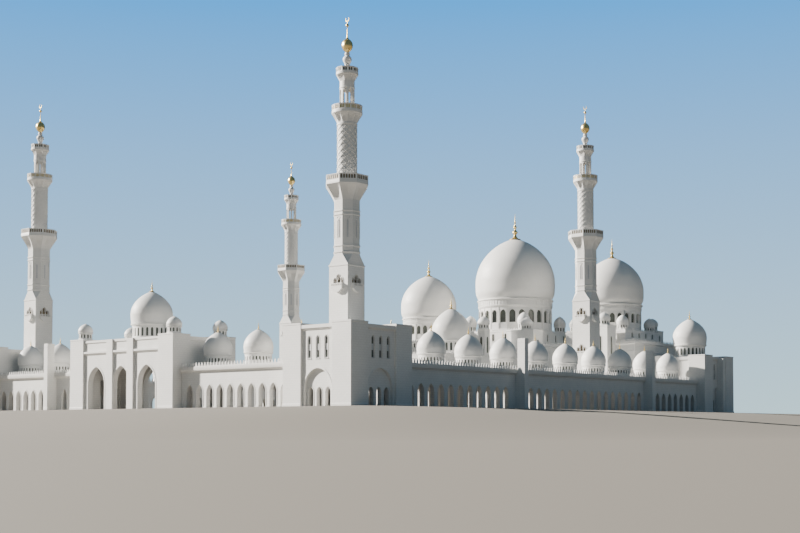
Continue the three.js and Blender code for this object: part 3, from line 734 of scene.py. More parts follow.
def arcade_wall(start, end, places):
    """Wall with archivolts on both faces, imposts and a plinth."""
    arches = [(x, ARCADE_ARCH) for x in places]
    wall = arched_wall(start, end, 0, ARCADE_WALL, WALL_TOP, arches, ARCADE_EDGE)
    rear = joined(*(arch_band(-x, ARCADE_ARCH, -ARCADE_WALL, *ARCADE_EDGE) for x in places))
    wall.join(rear.placed(turn=180))
    half = ARCH_WIDTH / 2
    edges = [start] + [side for x in places for side in (x - half, x + half)] + [end]
    for low, high in zip(edges[::2], edges[1::2]):
        if high - low < 0.5:
            continue
        for proud, z0, z1 in ((0.1, 0, 0.7), (0.07, ARCH_SPRING - 0.15, ARCH_SPRING + 0.1)):
            wall.join(box(low + 0.3, high - 0.3, -proud, ARCADE_WALL + proud, z0, z1))
    return wall


def front_places(pylons=()):
    return arches_between(ENTRANCE_HALF, ROW_X - BLOCK_HALF, FRONT_BAY_START, FRONT_BAY, pylons)


def side_places(end, pylons=()):
    return arches_between(FRONT_ROW_Y + BLOCK_HALF, end, FRONT_ROW_Y + SIDE_BAY, SIDE_BAY, pylons)


def pylon():
    """Slab pylon that stands out from the wall and rises past the cornice."""
    half = PYLON_WIDTH / 2
    front = ARCADE_HALF - BLOCK_HALF
    back = -CORNICE_REACH
    top = PYLON_TOP
    body = box(-half, half, front, 0.5, 0, WALL_TOP).join(box(-half, half, front, back, WALL_TOP, top))
    for lines in ([(0, top - 1.1), (0.06, top - 1.05), (0.06, top - 0.9), (0, top - 0.85)],
                  [(0, 0), (0.1, 0), (0.1, 0.9), (0, 1)]):
        body.join(loop(lines, half, (back - front) / 2).placed(0, (front + back) / 2))
    return body


def arcade_roof(start, end, dome_places, rows):
    """Roof slab along X with its middle at y = 0, moulded cornices, rows of merlons and domes."""
    inner = ARCADE_HALF - ARCADE_WALL
    slab = box(start, end, -inner, inner, WALL_TOP, ROOF_TOP)
    cornice = run([(-ARCADE_HALF - out, z) for out, z in CORNICE], start, end)
    slab.join(cornice, cornice.placed(start + end, turn=180))
    for place in rows:
        slab.join(merlons(start + MERLON_INSET, end - MERLON_INSET, place, ROOF_TOP))
    dome = small_dome(ARCADE_DOME).join(spire(ARCADE_DOME["top"] - 0.12, ARCADE_DOME["spire"], 10))
    return slab.join(*(dome.placed(x) for x in dome_places))


def dress_front_arcades():
    start = ENTRANCE_HALF
    end = ROW_X - BLOCK_HALF
    outer = FRONT_ROW_Y - ARCADE_HALF
    edge = ARCADE_HALF + CORNICE_REACH - ROW_INSET
    dress("front_arcade_outer_wall_right", arcade_wall(start, end, front_places()), 0, outer)
    wall = arcade_wall(start, end, front_places((FRONT_PYLON_X,))).join(pylon().placed(FRONT_PYLON_X))
    dress("front_arcade_outer_wall_left", wall, 0, outer)
    inner = arcade_wall(start, end, front_places()).placed(turn=180, mirrored=True)
    dress_pair("front_arcade_inner_wall", inner, 0, FRONT_ROW_Y + ARCADE_HALF)
    centres = [FRONT_BAY_START + k * FRONT_BAY for k in range(3)]
    dress_pair("front_arcade_roof", arcade_roof(start, end, centres, (-edge, edge)), 0, FRONT_ROW_Y)


def dress_side_arcades():
    """Side arcades from the front block to the rear block, made along X and turned."""
    start = FRONT_ROW_Y + BLOCK_HALF
    end = HALL_ROW_Y - BLOCK_HALF
    court_end = MINARET_REAR_Y - MINARET_HALF
    edge = ARCADE_HALF + CORNICE_REACH - ROW_INSET
    wall = arcade_wall(start, end, side_places(end, SIDE_PYLONS_Y))
    wall.join(*(pylon().placed(y) for y in SIDE_PYLONS_Y))
    dress_pair("side_arcade_outer_wall", wall.placed(turn=90), ROW_X + ARCADE_HALF, 0)
    inner = arcade_wall(start, end, side_places(court_end)).placed(turn=-90, mirrored=True)
    dress_pair("side_arcade_inner_wall", inner, ROW_X - ARCADE_HALF, 0)
    centres = [FRONT_ROW_Y + (k + 1) * SIDE_BAY for k in range(10)]
    roof = arcade_roof(start, end, centres, (-edge,))
    roof.join(merlons(start + MERLON_INSET, court_end - 1, edge, ROOF_TOP))
    dress_pair("side_arcade_roof", roof.placed(turn=90), ROW_X, 0)


# Corner blocks and the entrance block

WINDOWS_X = (-2.95, 0, 2.95)
WINDOW_RECESS = (1.2, 12.4, 17.3, 18.2, 5)
UPPER_WINDOW = (0.96, 16, 17.25, 17.95, 5)
LOWER_WINDOW = (12.6, 14.4)
BLIND_ARCH = (9.2, 0, 5, 9.9, 12)
DOORWAY = (1.9, 0, 3.8, 5.2, 7)
ENTRANCE_ARCH = (8, 0, 7.6, 13, 12)
ENTRANCE_ARCHES_X = (-11.8, 0, 11.8)
ENTRANCE_TURRET_TOP = 26.6
TURRET_SIDES = 28
TURRET_WINDOWS = 12

# Bulb of a turret: share of its radius and of its height
BULB = [(0.95, 0.44), (1, 0.54), (0.93, 0.66), (0.74, 0.79), (0.45, 0.9), (0.14, 0.965), (0, 1)]


def piers(half_x, half_y):
    """Moulded pier on each corner."""
    half = PIER_WIDTH / 2
    top = PIER_TOP
    foot = loop([(0, 0), (0.12, 0), (0.12, 0.85), (0, 1)], half, half)
    cap = loop([(0, top - 0.5), (0.07, top - 0.42), (0.07, top), (-0.4, top)], half, half)
    pier = joined(centred_box(half, half, 0, top), foot, cap)
    return at_corners(pier, half_x - half, half_y - half)


def window_column(x, outer):
    """Tall recess with an arched window above, a square one below and a grey slab between them. The grey of
    the back plate is painted shade in the recess.
    """
    recess = arch(x, WINDOW_RECESS)
    foot = WINDOW_RECESS[1]
    half = UPPER_WINDOW[0] / 2
    windows = [arch(x, UPPER_WINDOW), rectangle(x - half, x + half, *LOWER_WINDOW)]
    # Back plate in the darker marble: painted shade in the recess
    back = panel(recess, windows, outer + 0.22, outer + 0.5, SHADED)
    back.join(*(sheet(window, outer + 0.42) for window in windows))
    back.join(arch_band(x, WINDOW_RECESS, outer, 0.16, 0.07))
    return recess, back.join(box(x - 0.78, x + 0.78, outer - 0.14, outer, foot - 0.2, foot))


def recess_cornice(inner, outer, foot, top, reach=0.5):
    profile = [(outer, foot), (outer - 0.2, foot + 0.06), (outer - 0.28, foot + 0.22),
               (outer - reach, foot + 0.45), (outer - reach, top), (outer, top)]
    return run(profile, -inner, inner)


def recessed_face(half_length, half_depth, columns=WINDOWS_X):
    """Outer face between piers: window columns above a blind arch with small doorways."""
    inner = half_length - PIER_WIDTH
    outer = RECESS_DEPTH - half_depth
    middle = outer + BLIND_ARCH_DEPTH
    holes, details = zip(*(window_column(x, outer) for x in columns))
    front = arched_wall(-inner, inner, outer, middle, RECESS_TOP, [(0, BLIND_ARCH)], (0.35, 0.08), holes)
    doors = [(x, DOORWAY) for x in columns]
    rear = arched_wall(-inner, inner, middle, outer + BLOCK_WALL, RECESS_TOP, doors, (0.18, 0.08))
    cornice = recess_cornice(inner, outer, BLOCK_CEILING, RECESS_TOP)
    return joined(front, rear, cornice, *details)


def arcade_face(half_length, half_depth):
    """Face that opens into the arcade walk beside it."""
    inner = half_length - PIER_WIDTH
    outer = RECESS_DEPTH - half_depth
    wall = arched_wall(-inner, inner, outer, outer + BLOCK_WALL, RECESS_TOP, [(0, BLIND_ARCH)])
    return wall.join(recess_cornice(inner, outer, BLOCK_CEILING, RECESS_TOP, 0.3))


def roof_slab(half_x, half_y):
    reach = RECESS_DEPTH + 0.4
    return centred_box(half_x - reach, half_y - reach, BLOCK_CEILING, BLOCK_ROOF)


def turret(radius, foot, top):
    """Small windowed drum with a pointed bulb on top."""
    drum = 0.88 * radius
    rise = top - foot

    def levels(*profile):
        return [(r, foot + share * rise) for r, share in profile]

    base = levels((0, 0), (radius, 0), (radius, 0.04), (drum, 0.06), (drum, 0.08))
    rings = levels((drum, 0.36), (1.02 * radius, 0.39), (1.02 * radius, 0.42), (0.93 * radius, 0.43))
    bulb = smooth(levels(*((r * radius, share) for r, share in BULB)), 4)
    window = (math.pi * drum / TURRET_WINDOWS, foot + 0.11 * rise, foot + 0.33 * rise)
    return joined(
        lathe(base, TURRET_SIDES),
        round_wall(drum, 0.14, foot + 0.08 * rise, foot + 0.36 * rise, TURRET_WINDOWS, window),
        lathe(rings + bulb, TURRET_SIDES),
    )


def dress_blocks():
    b = BLOCK_HALF
    body = piers(b, b).join(roof_slab(b, b), arcade_face(b, b).placed(turn=270))
    front = joined(
        body,
        recessed_face(b, b),
        recessed_face(b, b).placed(turn=90),
        arcade_face(b, b).placed(turn=180),
    )
    dress_pair("front_block", front, ROW_X, FRONT_ROW_Y)
    half = PYLON_WIDTH / 2
    rear = joined(
        body,
        recessed_face(b, b).placed(turn=180),
        recessed_face(b, b, WINDOWS_X[::2]).placed(turn=90),
        arcade_face(b, b),
        box(b - 1.2, b + 1.95, -half, half, 0, BLOCK_ROOF),
    )
    dress_pair("rear_block", rear, ROW_X, HALL_ROW_Y)


def entrance_face(outer):
    """Three tall arches between the piers, with a moulding and a flat band above them."""
    inner = ENTRANCE_HALF - PIER_WIDTH
    arches = [(x, ENTRANCE_ARCH) for x in ENTRANCE_ARCHES_X]
    wall = arched_wall(-inner, inner, outer, outer + BLOCK_WALL, RECESS_TOP, arches, (0.35, 0.1))
    wall.join(recess_cornice(inner, outer, 16.6, 17.6))
    lines = [(outer, 20.1), (outer - 0.25, 20.25), (outer - 0.25, RECESS_TOP), (outer, RECESS_TOP)]
    return wall.join(run(lines, -inner, inner))


def dress_entrance():
    b = BLOCK_HALF
    outer = RECESS_DEPTH - b
    half = PIER_WIDTH / 2
    body = joined(
        piers(ENTRANCE_HALF, b),
        four_sides(entrance_face(outer), arcade_face(b, ENTRANCE_HALF)),
        *(box(x - 1.4, x + 1.4, -b, outer, 0, RECESS_TOP) for x in (-4.8, 4.8)),
        roof_slab(ENTRANCE_HALF, b),
        at_corners(turret(2.25, PIER_TOP, ENTRANCE_TURRET_TOP), ENTRANCE_HALF - half, b - half),
    )
    dress("entrance_block", body, 0, FRONT_ROW_Y)


# Minarets. A balcony is given by the foot and the floor of its plate.

OCTAGON = MINARET_HALF / math.cos(math.pi / 8)
SHAFT_CORE = MINARET_HALF - 0.9
SHAFT_TOP = 38.4
BROACH_TOP = 41.2
OCTAGON_TOP = 55.8
OCTAGON_BANDS = (41.5, 43.2, 51.6, 52.6)
OCTAGON_NICHE = (0.5, 45.6, 49.9, 50.4, 4)
RING_HEIGHT = 50.95
FIRST_BALCONY = (59.9, 60.8)
ROUND_RADIUS = 2.65
ROUND_TOP = 76.8
LATTICE = (61.6, 76.2)
LATTICE_STARTS = 10
LATTICE_PITCH = 1.66
SECOND_BALCONY = (79.4, 80.1)
LANTERN_RADIUS = 2.02
LANTERN_TOP = 87
THIRD_BALCONY = (90, 90.6)
NECK_TOP = 96.2
LOWER_OPENING = 20
UPPER_OPENING = 32.5


def bracket(low, high, z0, z1, sides, flat):
    """Flaring support under a balcony, with a pointed hollow in each of its faces."""
    middle = math.cos(math.pi / sides) if flat else 1
    levels = []
    for t in (0, 0.2, 0.4, 0.6, 0.8, 0.92):
        corner = low + (high - low) * min(1, t ** 1.1 * 1.05)
        inside = (low + (high - low) * t ** 3) * middle
        levels.append((corner, inside, z0 + t * (z1 - z0)))
    levels.append((high, high * middle, z1))
    count = 2 * sides
    angles = [math.pi * (k + 1) / sides for k in range(count)]
    points = [polar(level[k % 2], angles[k], level[2]) for level in levels for k in range(count)]
    return Shape().add(points, quads(len(levels), count))


def parapet(radius, sides, low, high, openings, kind):
    """Balcony parapet with pierced panels, seen against a darker grille."""
    half = radius * math.tan(math.pi / sides)
    step = 2 * half / (openings + 0.6)
    form = (0.74 * step, low + 0.2, high - 0.55, high - 0.22, 3)
    holes = [arch((k - (openings - 1) / 2) * step, form) for k in range(openings)]
    side = panel(rectangle(-half, half, low, high), holes, -radius, -radius + 0.16)
    side.join(sheet(rectangle(-half + 0.1, half - 0.1, low + 0.1, high - 0.15), -radius + 0.1, kind))
    side.join(box(-half, half, -radius - 0.07, -radius + 0.22, high - 0.16, high))
    return around(side, sides)


def three_lobes(floor, grow=0):
    """Outline of an opening with a tall pointed lobe between two lower ones."""
    higher = 1.4 * grow
    tall = arch(0, (1.3 + 2 * grow, floor + 1.9 + grow, floor + 2.5, floor + 3.3 + higher, 5))
    left = arch(-1.2, (1.1 + 2 * grow, floor, floor + 1.6, floor + 2.4 + higher, 5))
    return left[:-2] + tall + mirror(left)[2:]


def shaft_balcony(floor):
    """Small balcony before a three-lobed opening in one face of the square shaft."""
    face = -MINARET_HALF
    front = face - 0.8
    thick = 0.12
    half = 1.85
    rail = floor + 0.85
    shelf = [(-half, floor), (-half, floor - 0.6), (-0.7, floor - 1.5)]
    shape = panel(shelf + mirror(shelf), [], front, face + 0.1)
    places = [0.42 * k for k in range(-4, 5)]
    gaps = [rectangle(x - 0.12, x + 0.12, floor + 0.14, rail - 0.16) for x in places]
    shape.join(panel(rectangle(-half, half, floor, rail), gaps, front, front + thick))
    for side in (-1, 1):
        end = box(-thick / 2, thick / 2, front + thick, face, floor, rail)
        column = box(-0.09, 0.09, -0.12, 0.1, floor, floor + 1.9)
        shape.join(end.placed(side * (half - thick / 2)), column.placed(side * 0.65, face + 0.3))
    return shape.join(band(three_lobes(floor), three_lobes(floor, 0.13), face, 0.12))


def square_shaft(foot, floors):
    """Shaft of four walls round a dark core, which is painted shade for the inside seen through the
    openings. Two of the walls run between the other two.
    """
    h = MINARET_HALF
    core = SHAFT_CORE
    holes = [three_lobes(floor) for floor in floors]
    along, across = (panel(rectangle(-w, w, foot, SHAFT_TOP), holes, -h, -core) for w in (h, core))
    walls = four_sides(along, across)
    walls.join(*(around(shaft_balcony(floor), 4) for floor in floors))
    # Dark box inside the shaft: painted shade seen through the openings
    walls.join(centred_box(core, core, foot + 0.1, SHAFT_TOP - 0.1, DARK))
    walls.join(loop([(0, 37.95), (0.12, 38.05), (0.12, SHAFT_TOP), (0, SHAFT_TOP)], h, h))
    if foot > 0:
        walls.join(loop([(0, foot), (0.1, foot), (0.1, foot + 0.3), (0, foot + 0.45)], h, h))
    return walls


def broach():
    """Slanting corners that turn the square shaft into an octagon."""
    h = MINARET_HALF
    t = h * math.tan(math.pi / 8)
    low = [(h, -h), (h, h), (-h, h), (-h, -h)]
    high = [(h, -t), (h, t), (t, h), (-t, h), (-h, t), (-h, -t), (-t, -h), (t, -h)]
    points = [(x, y, SHAFT_TOP) for x, y in low] + [(x, y, BROACH_TOP) for x, y in high]
    faces = [(0, 1, 2, 3), tuple(range(11, 3, -1))]
    for k in range(4):
        after = (k + 1) % 4
        faces.append((k, after, 5 + 2 * k, 4 + 2 * k))
        faces.append((after, 4 + (2 * k + 2) % 8, 5 + 2 * k))
    return Shape().add(points, faces)


def octagon_stage():
    """Octagonal stage with paired bands, and a tall blind niche under a ring on each face. The niche is a
    flat sheet of the darker marble, painted shade with no depth behind it.
    """
    h = MINARET_HALF
    out = OCTAGON + 0.18
    body = lathe([(OCTAGON, BROACH_TOP), (OCTAGON, OCTAGON_TOP)], 8)
    for z in OCTAGON_BANDS:
        body.join(lathe([(OCTAGON, z), (out, z + 0.1), (out, z + 0.4), (OCTAGON, z + 0.5)], 8))
    angles = [math.pi * k / 6 for k in range(13)]
    inner, outer = ([(0.42 * size * math.cos(a), RING_HEIGHT + 0.3 * size * math.sin(a)) for a in angles]
                    for size in (1, 1.35))
    # Flat darker sheet on the face: painted shade for the niche
    face = sheet(arch(0, OCTAGON_NICHE), -h - 0.015, SHADED)
    face.join(arch_band(0, OCTAGON_NICHE, -h, 0.14, 0.12), band(inner, outer, -h, 0.08))
    return joined(broach(), body, around(face, 8))


def minaret_shaft(foot, floors):
    """Square shaft, octagonal stage and first balcony."""
    wide = 1.66 * OCTAGON
    low, floor = FIRST_BALCONY
    plate = [(wide, low), (wide, floor), (wide - 0.05, floor + 0.1), (wide - 0.35, floor + 0.1), (0, floor)]
    return joined(
        square_shaft(foot, floors),
        octagon_stage(),
        bracket(OCTAGON, wide, OCTAGON_TOP, low, 8, True),
        lathe(plate, 8),
        parapet(wide * math.cos(math.pi / 8) - 0.02, 8, floor + 0.05, 62.4, 6, DARK),
    )


def lattice():
    """Raised ribs that cross as a diamond lattice on the round stage."""
    low, high = LATTICE
    step = 2 * math.pi / LATTICE_STARTS
    turns = (high - low) / LATTICE_PITCH * step
    pieces = int(turns / math.radians(6))
    profile = ((-0.02, -0.15), (0.11, -0.075), (0.11, 0.075), (-0.02, 0.15))
    shape = Shape()
    for sign in (-1, 1):
        for start in range(LATTICE_STARTS):
            points = []
            for k in range(pieces + 1):
                t = k / pieces
                angle = start * step + sign * t * turns
                z = low + t * (high - low)
                points += [polar(ROUND_RADIUS + proud, angle, z + lift) for proud, lift in profile]
            shape.add(points, quads(pieces + 1, 4, closed=False))
    return shape


def round_stage():
    """Round stage with a lattice, and the second balcony on a flaring support."""
    r = ROUND_RADIUS
    foot = FIRST_BALCONY[1]
    top = ROUND_TOP
    low, floor = SECOND_BALCONY
    wide = 4.17
    drum = [(0, foot), (r + 0.3, foot), (r + 0.3, foot + 0.5), (r, foot + 0.7), (r, top - 0.6),
            (r + 0.15, top - 0.5), (r + 0.15, top - 0.1), (r, top)]
    plate = [(wide, low), (wide, floor), (4.1, floor + 0.05), (3.9, floor + 0.05), (0, floor)]
    return joined(
        lathe(drum, 48),
        lattice(),
        bracket(r, wide, top, low, 12, False),
        lathe(plate, 48),
        parapet(4.08, 16, floor, 81.6, 3, GOLD),
    )


def lantern():
    """Open lantern with a ring at its foot and head."""
    r = LANTERN_RADIUS
    floor = SECOND_BALCONY[1]
    shape = round_wall(r, 0.57, floor, LANTERN_TOP, 8, (0.98, 80.5, 86), None)
    for z in (floor, 86.3):
        shape.join(lathe([(r, z), (r + 0.1, z + 0.06), (r + 0.1, z + 0.3), (r, z + 0.36)], 32))
    return shape


def third_balcony():
    """Third balcony with the turned neck that carries the finial."""
    r = LANTERN_RADIUS
    low, floor = THIRD_BALCONY
    support = 88.2
    wide = 3.02
    neck = smooth([(1.05, floor), (0.95, 91.6), (0.68, 92.5), (0.8, 93.2), (1.2, 94.1), (1.12, 94.8),
                   (0.6, 95.4), (0.72, 95.7), (0.62, NECK_TOP)], 4)
    return joined(
        lathe([(0, LANTERN_TOP), (r, LANTERN_TOP), (r, support)], 32),
        bracket(r, wide, support, low, 8, False),
        lathe([(wide, low), (wide, floor), (2.8, floor + 0.05), (0, floor)], 32),
        parapet(2.9, 12, floor, 91.9, 2, DARK),
        lathe([(0, floor)] + neck + [(0, NECK_TOP)], 28),
    )


def crescent(radius, z, thick):
    """Upright crescent, open at the top."""
    outer = []
    inner = []
    for k in range(25):
        angle = math.radians(-90 - 140 + 280 * k / 24)
        for curve, size in ((outer, radius), (inner, 0.8 * radius)):
            curve.append((size * math.cos(angle), z + radius - size + size * math.sin(angle)))
    return panel(outer + inner[-2:0:-1], [], -thick / 2, thick / 2, GOLD)


def minaret_finial():
    top = 104.7
    bulb = smooth([(0.5, NECK_TOP), (0.62, 96.5), (1.1, 96.95), (1.46, 97.7), (1.5, 98.3), (1.34, 99),
                   (0.9, 99.6), (0.4, 100), (0.22, 100.5), (0.12, 101.5), (0.1, 103.1), (0.32, 103.35),
                   (0.42, 103.7), (0.3, 104.05), (0.1, 104.25), (0.07, top)], 4)
    body = lathe([(0, NECK_TOP)] + bulb + [(0, top)], 32, GOLD)
    return body.join(crescent(0.66, 105.32, 0.14))


def dress_minarets():
    rows = (
        ("front", PIER_TOP, 0, [UPPER_OPENING]),
        ("rear", 0, MINARET_REAR_Y, [LOWER_OPENING, UPPER_OPENING]),
    )
    tower = joined(round_stage(), lantern(), third_balcony())
    for row, foot, y, floors in rows:
        dress_pair(row + "_minaret_shaft", minaret_shaft(foot, floors), MINARET_X, y)
        dress_pair(row + "_minaret_tower", tower, MINARET_X, y)
        dress_pair(row + "_minaret_finial", minaret_finial(), MINARET_X, y)


# Prayer hall with its podiums, drums and domes

PODIUM_WALL = 1.5
MAIN_PODIUM = {"half": 16, "windows": (30, 33), "places": (-12.2, -6.1, 0, 6.1, 12.2),
               "turret_radius": 2.6, "turret_top": 41.4}
SIDE_PODIUM = {"half": 13.2, "windows": (29.4, 31.3), "places": (-7.9, -2.6, 2.6, 7.9),
               "turret_radius": 2.3, "turret_top": 38}
BLIND_NICHES = 72
SIDE_HALL_DOOR = (7, 0, 7.2, 12, 10)
HALL_DOOR = (9, 0, 9, 15, 10)
TALL_NICHE = (1.5, ROOF_TOP + 6, 28.6, 29.5, 5)
SHORT_NICHE = (1.2, 28.4, 30.9, 31.7, 5)


def podium(size, top):
    """Square podium with arched windows, merlons and a turret on each corner."""
    half = size["half"]
    foot, head = size["windows"]
    form = (1.1, foot, head - 0.6, head, 4)
    holes = [arch(x, form) for x in size["places"]]

    def side(width):
        wall = panel(rectangle(-width, width, HALL_ROOF_TOP, top), holes, -half, -half + PODIUM_WALL)
        for x, hole in zip(size["places"], holes):
            sill = box(x - 0.8, x + 0.8, -half - 0.12, -half, foot - 0.22, foot)
            wall.join(sheet(hole, -half + 0.35), arch_band(x, form, -half, 0.16, 0.08), sill)
        return wall

    corner = centred_box(2.4, 2.4, top - 0.3, top + 0.3)
    corner.join(turret(size["turret_radius"], top, size["turret_top"]))
    return joined(
        four_sides(side(half), side(half - PODIUM_WALL)),
        loop([(0, top - 0.55), (0.1, top - 0.5), (0.1, top - 0.2), (0, top - 0.15)], half, half),
        centred_box(half - 0.4, half - 0.4, top - 0.5, top - 0.02),
        merlons_around(half - 0.15, half - 0.15, top, 0.9),
        at_corners(corner, half - 2.7, half - 2.7),
    )


def large_drum(dome):
    """Round drum with tall arched windows, pilasters between them and a band of blind niches above."""
    base = dome["foot"]
    foot, head = dome["windows"]
    sides = dome["sides"]
    wall = 0.91 * dome["radius"]
    upper = 0.935 * dome["radius"]
    width = 0.16 * dome["radius"]
    step = 180 / DRUM_WINDOWS
    top = head + 0.9
    low = head + 1.75
    high = dome["ring"]
    niche = (1.1 * math.pi * upper / BLIND_NICHES, low + 0.25, high - 0.55)
    plinth = [(wall + 0.45, base), (wall + 0.45, base + 0.7), (wall + 0.1, base + 0.9), (wall, base + 1)]
    edge = arch_band(0, (width, foot, head - 0.62 * width, head, 5), -wall, 0.16, 0.12)
    pilaster = box(-0.24, 0.24, -wall - 0.16, -wall + 0.1, base + 0.9, top)
    return joined(
        lathe(plinth, sides),
        round_wall(wall, 0.55, base, top, DRUM_WINDOWS, (width, foot, head)).placed(turn=step),
        around(pilaster, DRUM_WINDOWS, step),
        around(edge, DRUM_WINDOWS),
        lathe([(wall, top), (wall + 0.12, head + 1), (upper, low)], sides),
        round_wall(upper, 0.12, low, high - 0.2, BLIND_NICHES, niche, STONE),
    )


def large_dome(dome):
    """Full rounded shell over a double ring moulding."""
    r = dome["radius"]
    ring = dome["ring"]
    wide = dome["wide"]
    rim = 0.93 * r
    neck = 0.915 * r
    rings = [(rim, ring - 0.3), (rim + 0.45, ring - 0.2), (rim + 0.5, ring + 0.1), (rim + 0.3, ring + 0.25),
             (neck, ring + 0.3)]
    swell = [(neck, ring + 0.3), (0.985 * r, ring + 0.45 * (wide - ring)), (r, wide)]
    return lathe(rings + smooth(swell, 4)[:-1] + smooth(crown(dome, ROUNDED), 5), dome["sides"])


def dress_large_domes():
    dress("main_drum", joined(podium(MAIN_PODIUM, MAIN_DOME["foot"]), large_drum(MAIN_DOME)), 0, HALL_ROW_Y)
    dress("main_dome", large_dome(MAIN_DOME), 0, HALL_ROW_Y)
    body = joined(podium(SIDE_PODIUM, SIDE_DOME["foot"]), large_drum(SIDE_DOME))
    dress_pair("side_drum", body, SIDE_DOME_X, HALL_ROW_Y)
    dress_pair("side_dome", large_dome(SIDE_DOME), SIDE_DOME_X, HALL_ROW_Y)


def hall_tower(half, foot, form):
    """Tower with a tall niche in each face and a turret on top. Dark glass at the back of each niche is
    painted shade.
    """
    deep = PIER_WIDTH / 2
    top = HALL_TOWER_TOP
    niche = arch(0, form)
    edge = [(1.2 * x, z if z == form[1] else z + 0.2) for x, z in niche]

    def side(width, face):
        wall = panel(rectangle(-width, width, foot, top), [niche], -face, -face + 0.5)
        # Dark glass sheet at the back of the niche: painted shade
        return wall.join(sheet(niche, -face + 0.4), band(niche, edge, -face, 0.08))

    return joined(
        four_sides(side(half, deep), side(deep - 0.5, half)),
        centred_box(half - 0.2, deep - 0.2, top - 0.4, top - 0.02),
        loop([(0, top - 0.6), (0.08, top - 0.5), (0.08, top), (-0.4, top)], half, deep),
        turret(2.4, top, 38.6),
    )


def dress_hall_roof():
    """Roof with a cornice and merlons, four towers before its front edge and two near its rear edge."""
    half_x = HALL_HALF_X + HALL_CORNICE
    half_y = (HALL_REAR_Y - HALL_FRONT_Y + HALL_CORNICE) / 2
    middle = (HALL_REAR_Y + HALL_FRONT_Y - HALL_CORNICE) / 2 - HALL_ROW_Y
    low = HALL_WALL_TOP
    top = HALL_ROOF_TOP
    edge = [(-HALL_CORNICE, low), (-0.42, low + 0.1), (-0.1, low + 0.4), (0, low + 0.5), (0, top),
            (-1.2, top), (-1.2, low)]
    roof = joined(
        loop(edge, half_x, half_y),
        centred_box(half_x - 1, half_y - 1, low + 0.2, top - 0.02),
        merlons_around(half_x - 0.15, half_y - 0.15, top, 1),
    ).placed(0, middle)
    front = HALL_FRONT_Y - HALL_ROW_Y - PIER_WIDTH / 2
    rear = HALL_REAR_Y - HALL_ROW_Y - REAR_TOWER_SETBACK - PIER_WIDTH / 2
    towers = (
        (INNER_TOWER, front, ROOF_TOP, TALL_NICHE),
        (OUTER_TOWER, front, ROOF_TOP, TALL_NICHE),
        (OUTER_TOWER, rear, HALL_ROOF_TOP, SHORT_NICHE),
    )
    for (x, half), y, foot, form in towers:
        tower = hall_tower(half, foot, form)
        roof.join(tower.placed(x, y), tower.placed(-x, y))
    dress("prayer_hall_roof", roof, 0, HALL_ROW_Y)


def blind_wall(half, bays):
    """Wall along X whose outer face is at y = 0, with a row of tall blind arches."""
    pitch = 2 * half / bays
    form = (0.5 * pitch, 2, 15, 20, 10)
    places = [-half + (k + 0.5) * pitch for k in range(bays)]
    wall = panel(rectangle(-half, half, 0, HALL_WALL_TOP), [arch(x, form) for x in places], 0, 0.4)
    wall.join(box(-half, half, 0.4, HALL_WALL, 0, HALL_WALL_TOP))
    return wall.join(*(arch_band(x, form, 0, 0.35, 0.1) for x in places))


def dress_hall_walls():
    """Front wall with three doorways, and blind arches on the other walls."""
    front = HALL_FRONT_Y - HALL_ROW_Y
    rear = HALL_REAR_Y - HALL_ROW_Y
    deep = (rear - front) / 2
    x = HALL_HALF_X
    doors = ((-SIDE_DOME_X, SIDE_HALL_DOOR), (0, HALL_DOOR), (SIDE_DOME_X, SIDE_HALL_DOOR))
    walls = arched_wall(-x, x, front, front + HALL_WALL, HALL_WALL_TOP, doors, (0.5, 0.14))
    walls.join(blind_wall(x, 8).placed(0, rear, turn=180))
    for side in (-1, 1):
        walls.join(blind_wall(deep - HALL_WALL, 2).placed(side * x, front + deep, turn=90 * side))
    lines = loop([(0, 23.3), (0.1, 23.38), (0.1, 23.62), (0, 23.7)], x, deep).placed(0, front + deep)
    dress("prayer_hall_walls", walls.join(lines), 0, HALL_ROW_Y)


def dress_links():
    """Short walls under a flat roof that tie the hall to each rear block."""
    near = HALL_HALF_X
    far = ROW_X - BLOCK_HALF
    b = BLOCK_HALF
    roof = RECESS_TOP - 0.6
    link = box(near, far, -b, b, roof, RECESS_TOP)
    for y in (-b, b - HALL_WALL):
        link.join(box(near, far, y, y + HALL_WALL, 0, roof))
    for y in (-b - 0.15, b):
        link.join(box(near, far, y, y + 0.15, RECESS_TOP - 1, RECESS_TOP))
    dress_pair("hall_link", link, 0, HALL_ROW_Y)


# Portal and covered front of the hall on the court side

PORTAL_ARCH = (12, 0, 10, 18, 12)
PORTAL_SIDE_ARCH = (6, 0, 6, 9.6, 10)
PORTAL_TOWER_HALF = 1.7
PORTAL_TOWER_TOP = 33.2
PORTAL_TOWER_NICHE = (1.1, 24, 29.6, 30.4, 5)


def portal_tower():
    h = PORTAL_TOWER_HALF
    top = PORTAL_TOWER_TOP
    # Flat dark glass sheet on each face: painted shade standing for a niche
    niche = sheet(arch(0, PORTAL_TOWER_NICHE), -h - 0.02)
    return joined(
        centred_box(h, h, 22.4, top),
        around(niche.join(arch_band(0, PORTAL_TOWER_NICHE, -h, 0.16, 0.1)), 4),
        loop([(0, top - 0.5), (0.07, top - 0.42), (0.07, top), (-0.3, top)], h, h),
        turret(2.45, top, 38.5),
    )


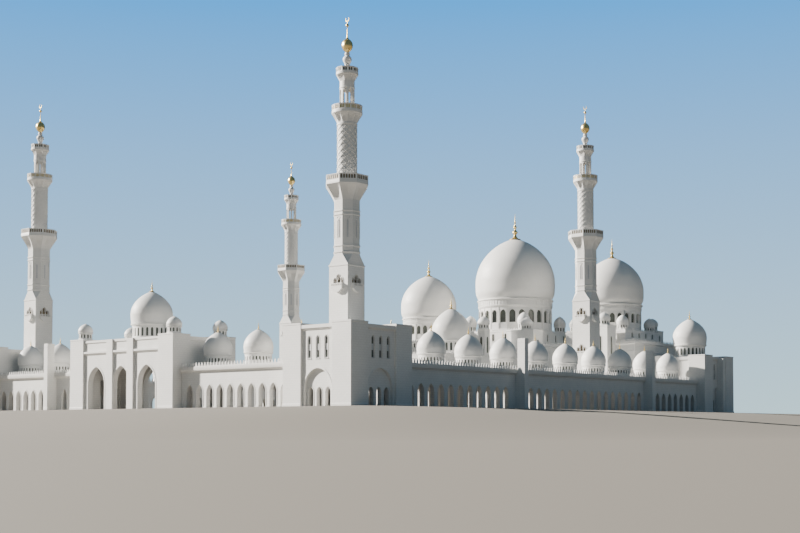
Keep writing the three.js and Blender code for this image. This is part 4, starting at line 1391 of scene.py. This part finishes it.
def dress_portal():
    """Portal between the rear minarets, with an arch in each side and two towers at its rear corners."""
    h = PORTAL_HALF
    wall = PORTAL_WALL
    front = MINARET_REAR_Y - 1.2 - PORTAL_Y
    middle = (h + front) / 2
    deep = (h - front) / 2
    face = arched_wall(-h, h, 0, wall, PORTAL_TOP, [(0, PORTAL_ARCH)], (0.6, 0.14))
    face.join(box(-h, h, -0.12, 0, 21.2, 21.5))
    body = joined(face.placed(0, front), face.placed(0, h, turn=180))
    inner = deep - wall
    for side in (-1, 1):
        arches = [(side * (-8.2 - middle), PORTAL_SIDE_ARCH)]
        across = arched_wall(-inner, inner, 0, wall, PORTAL_TOP, arches, (0.35, 0.1))
        across.join(box(-inner, inner, -0.12, 0, 21.2, 21.5))
        body.join(across.placed(side * h, middle, turn=90 * side))
    body.join(box(-h + 0.5, h - 0.5, front + 0.5, h - 0.5, 21.4, 22.5))
    body.join(merlons_around(h - 0.15, deep - 0.15, PORTAL_TOP, 1).placed(0, middle))
    corner = h - PORTAL_TOWER_HALF
    body.join(*(portal_tower().placed(side * corner, corner) for side in (-1, 1)))
    dress("portal_block", body, 0, PORTAL_Y)


def dress_portico():
    """Arched wall and flat roof before the hall, from the portal to the rear minaret."""
    start = PORTAL_HALF
    end = MINARET_X - MINARET_HALF
    back = HALL_FRONT_Y - MINARET_REAR_Y
    wall = arcade_wall(start, end, arches_between(start, end, FRONT_BAY / ARCHES_IN_BAY, FRONT_BAY))
    dress_pair("portico_wall", wall, 0, MINARET_REAR_Y)
    roof = run([(-out, z) for out, z in CORNICE], start, end)
    roof.join(box(start, end, 1, back, WALL_TOP, ROOF_TOP))
    roof.join(box(end - 0.5, ROW_X - ARCADE_HALF - CORNICE_REACH, MINARET_HALF, back, WALL_TOP, ROOF_TOP))
    roof.join(merlons(start + MERLON_INSET, end - MERLON_INSET, ROW_INSET - CORNICE_REACH, ROOF_TOP))
    dress_pair("portico_roof", roof, 0, MINARET_REAR_Y)


for name, piece in NODES.items():
    piece.data.materials.clear()
    piece.data.materials.append(GILT if "finial" in name else WHITE)

dress_domes()
dress_front_arcades()
dress_side_arcades()
dress_blocks()
dress_entrance()
dress_minarets()
dress_portal()
dress_portico()
dress_hall_roof()
dress_hall_walls()
dress_links()
dress_large_domes()
make_camera()
make_floor()
make_light()
make_sky()
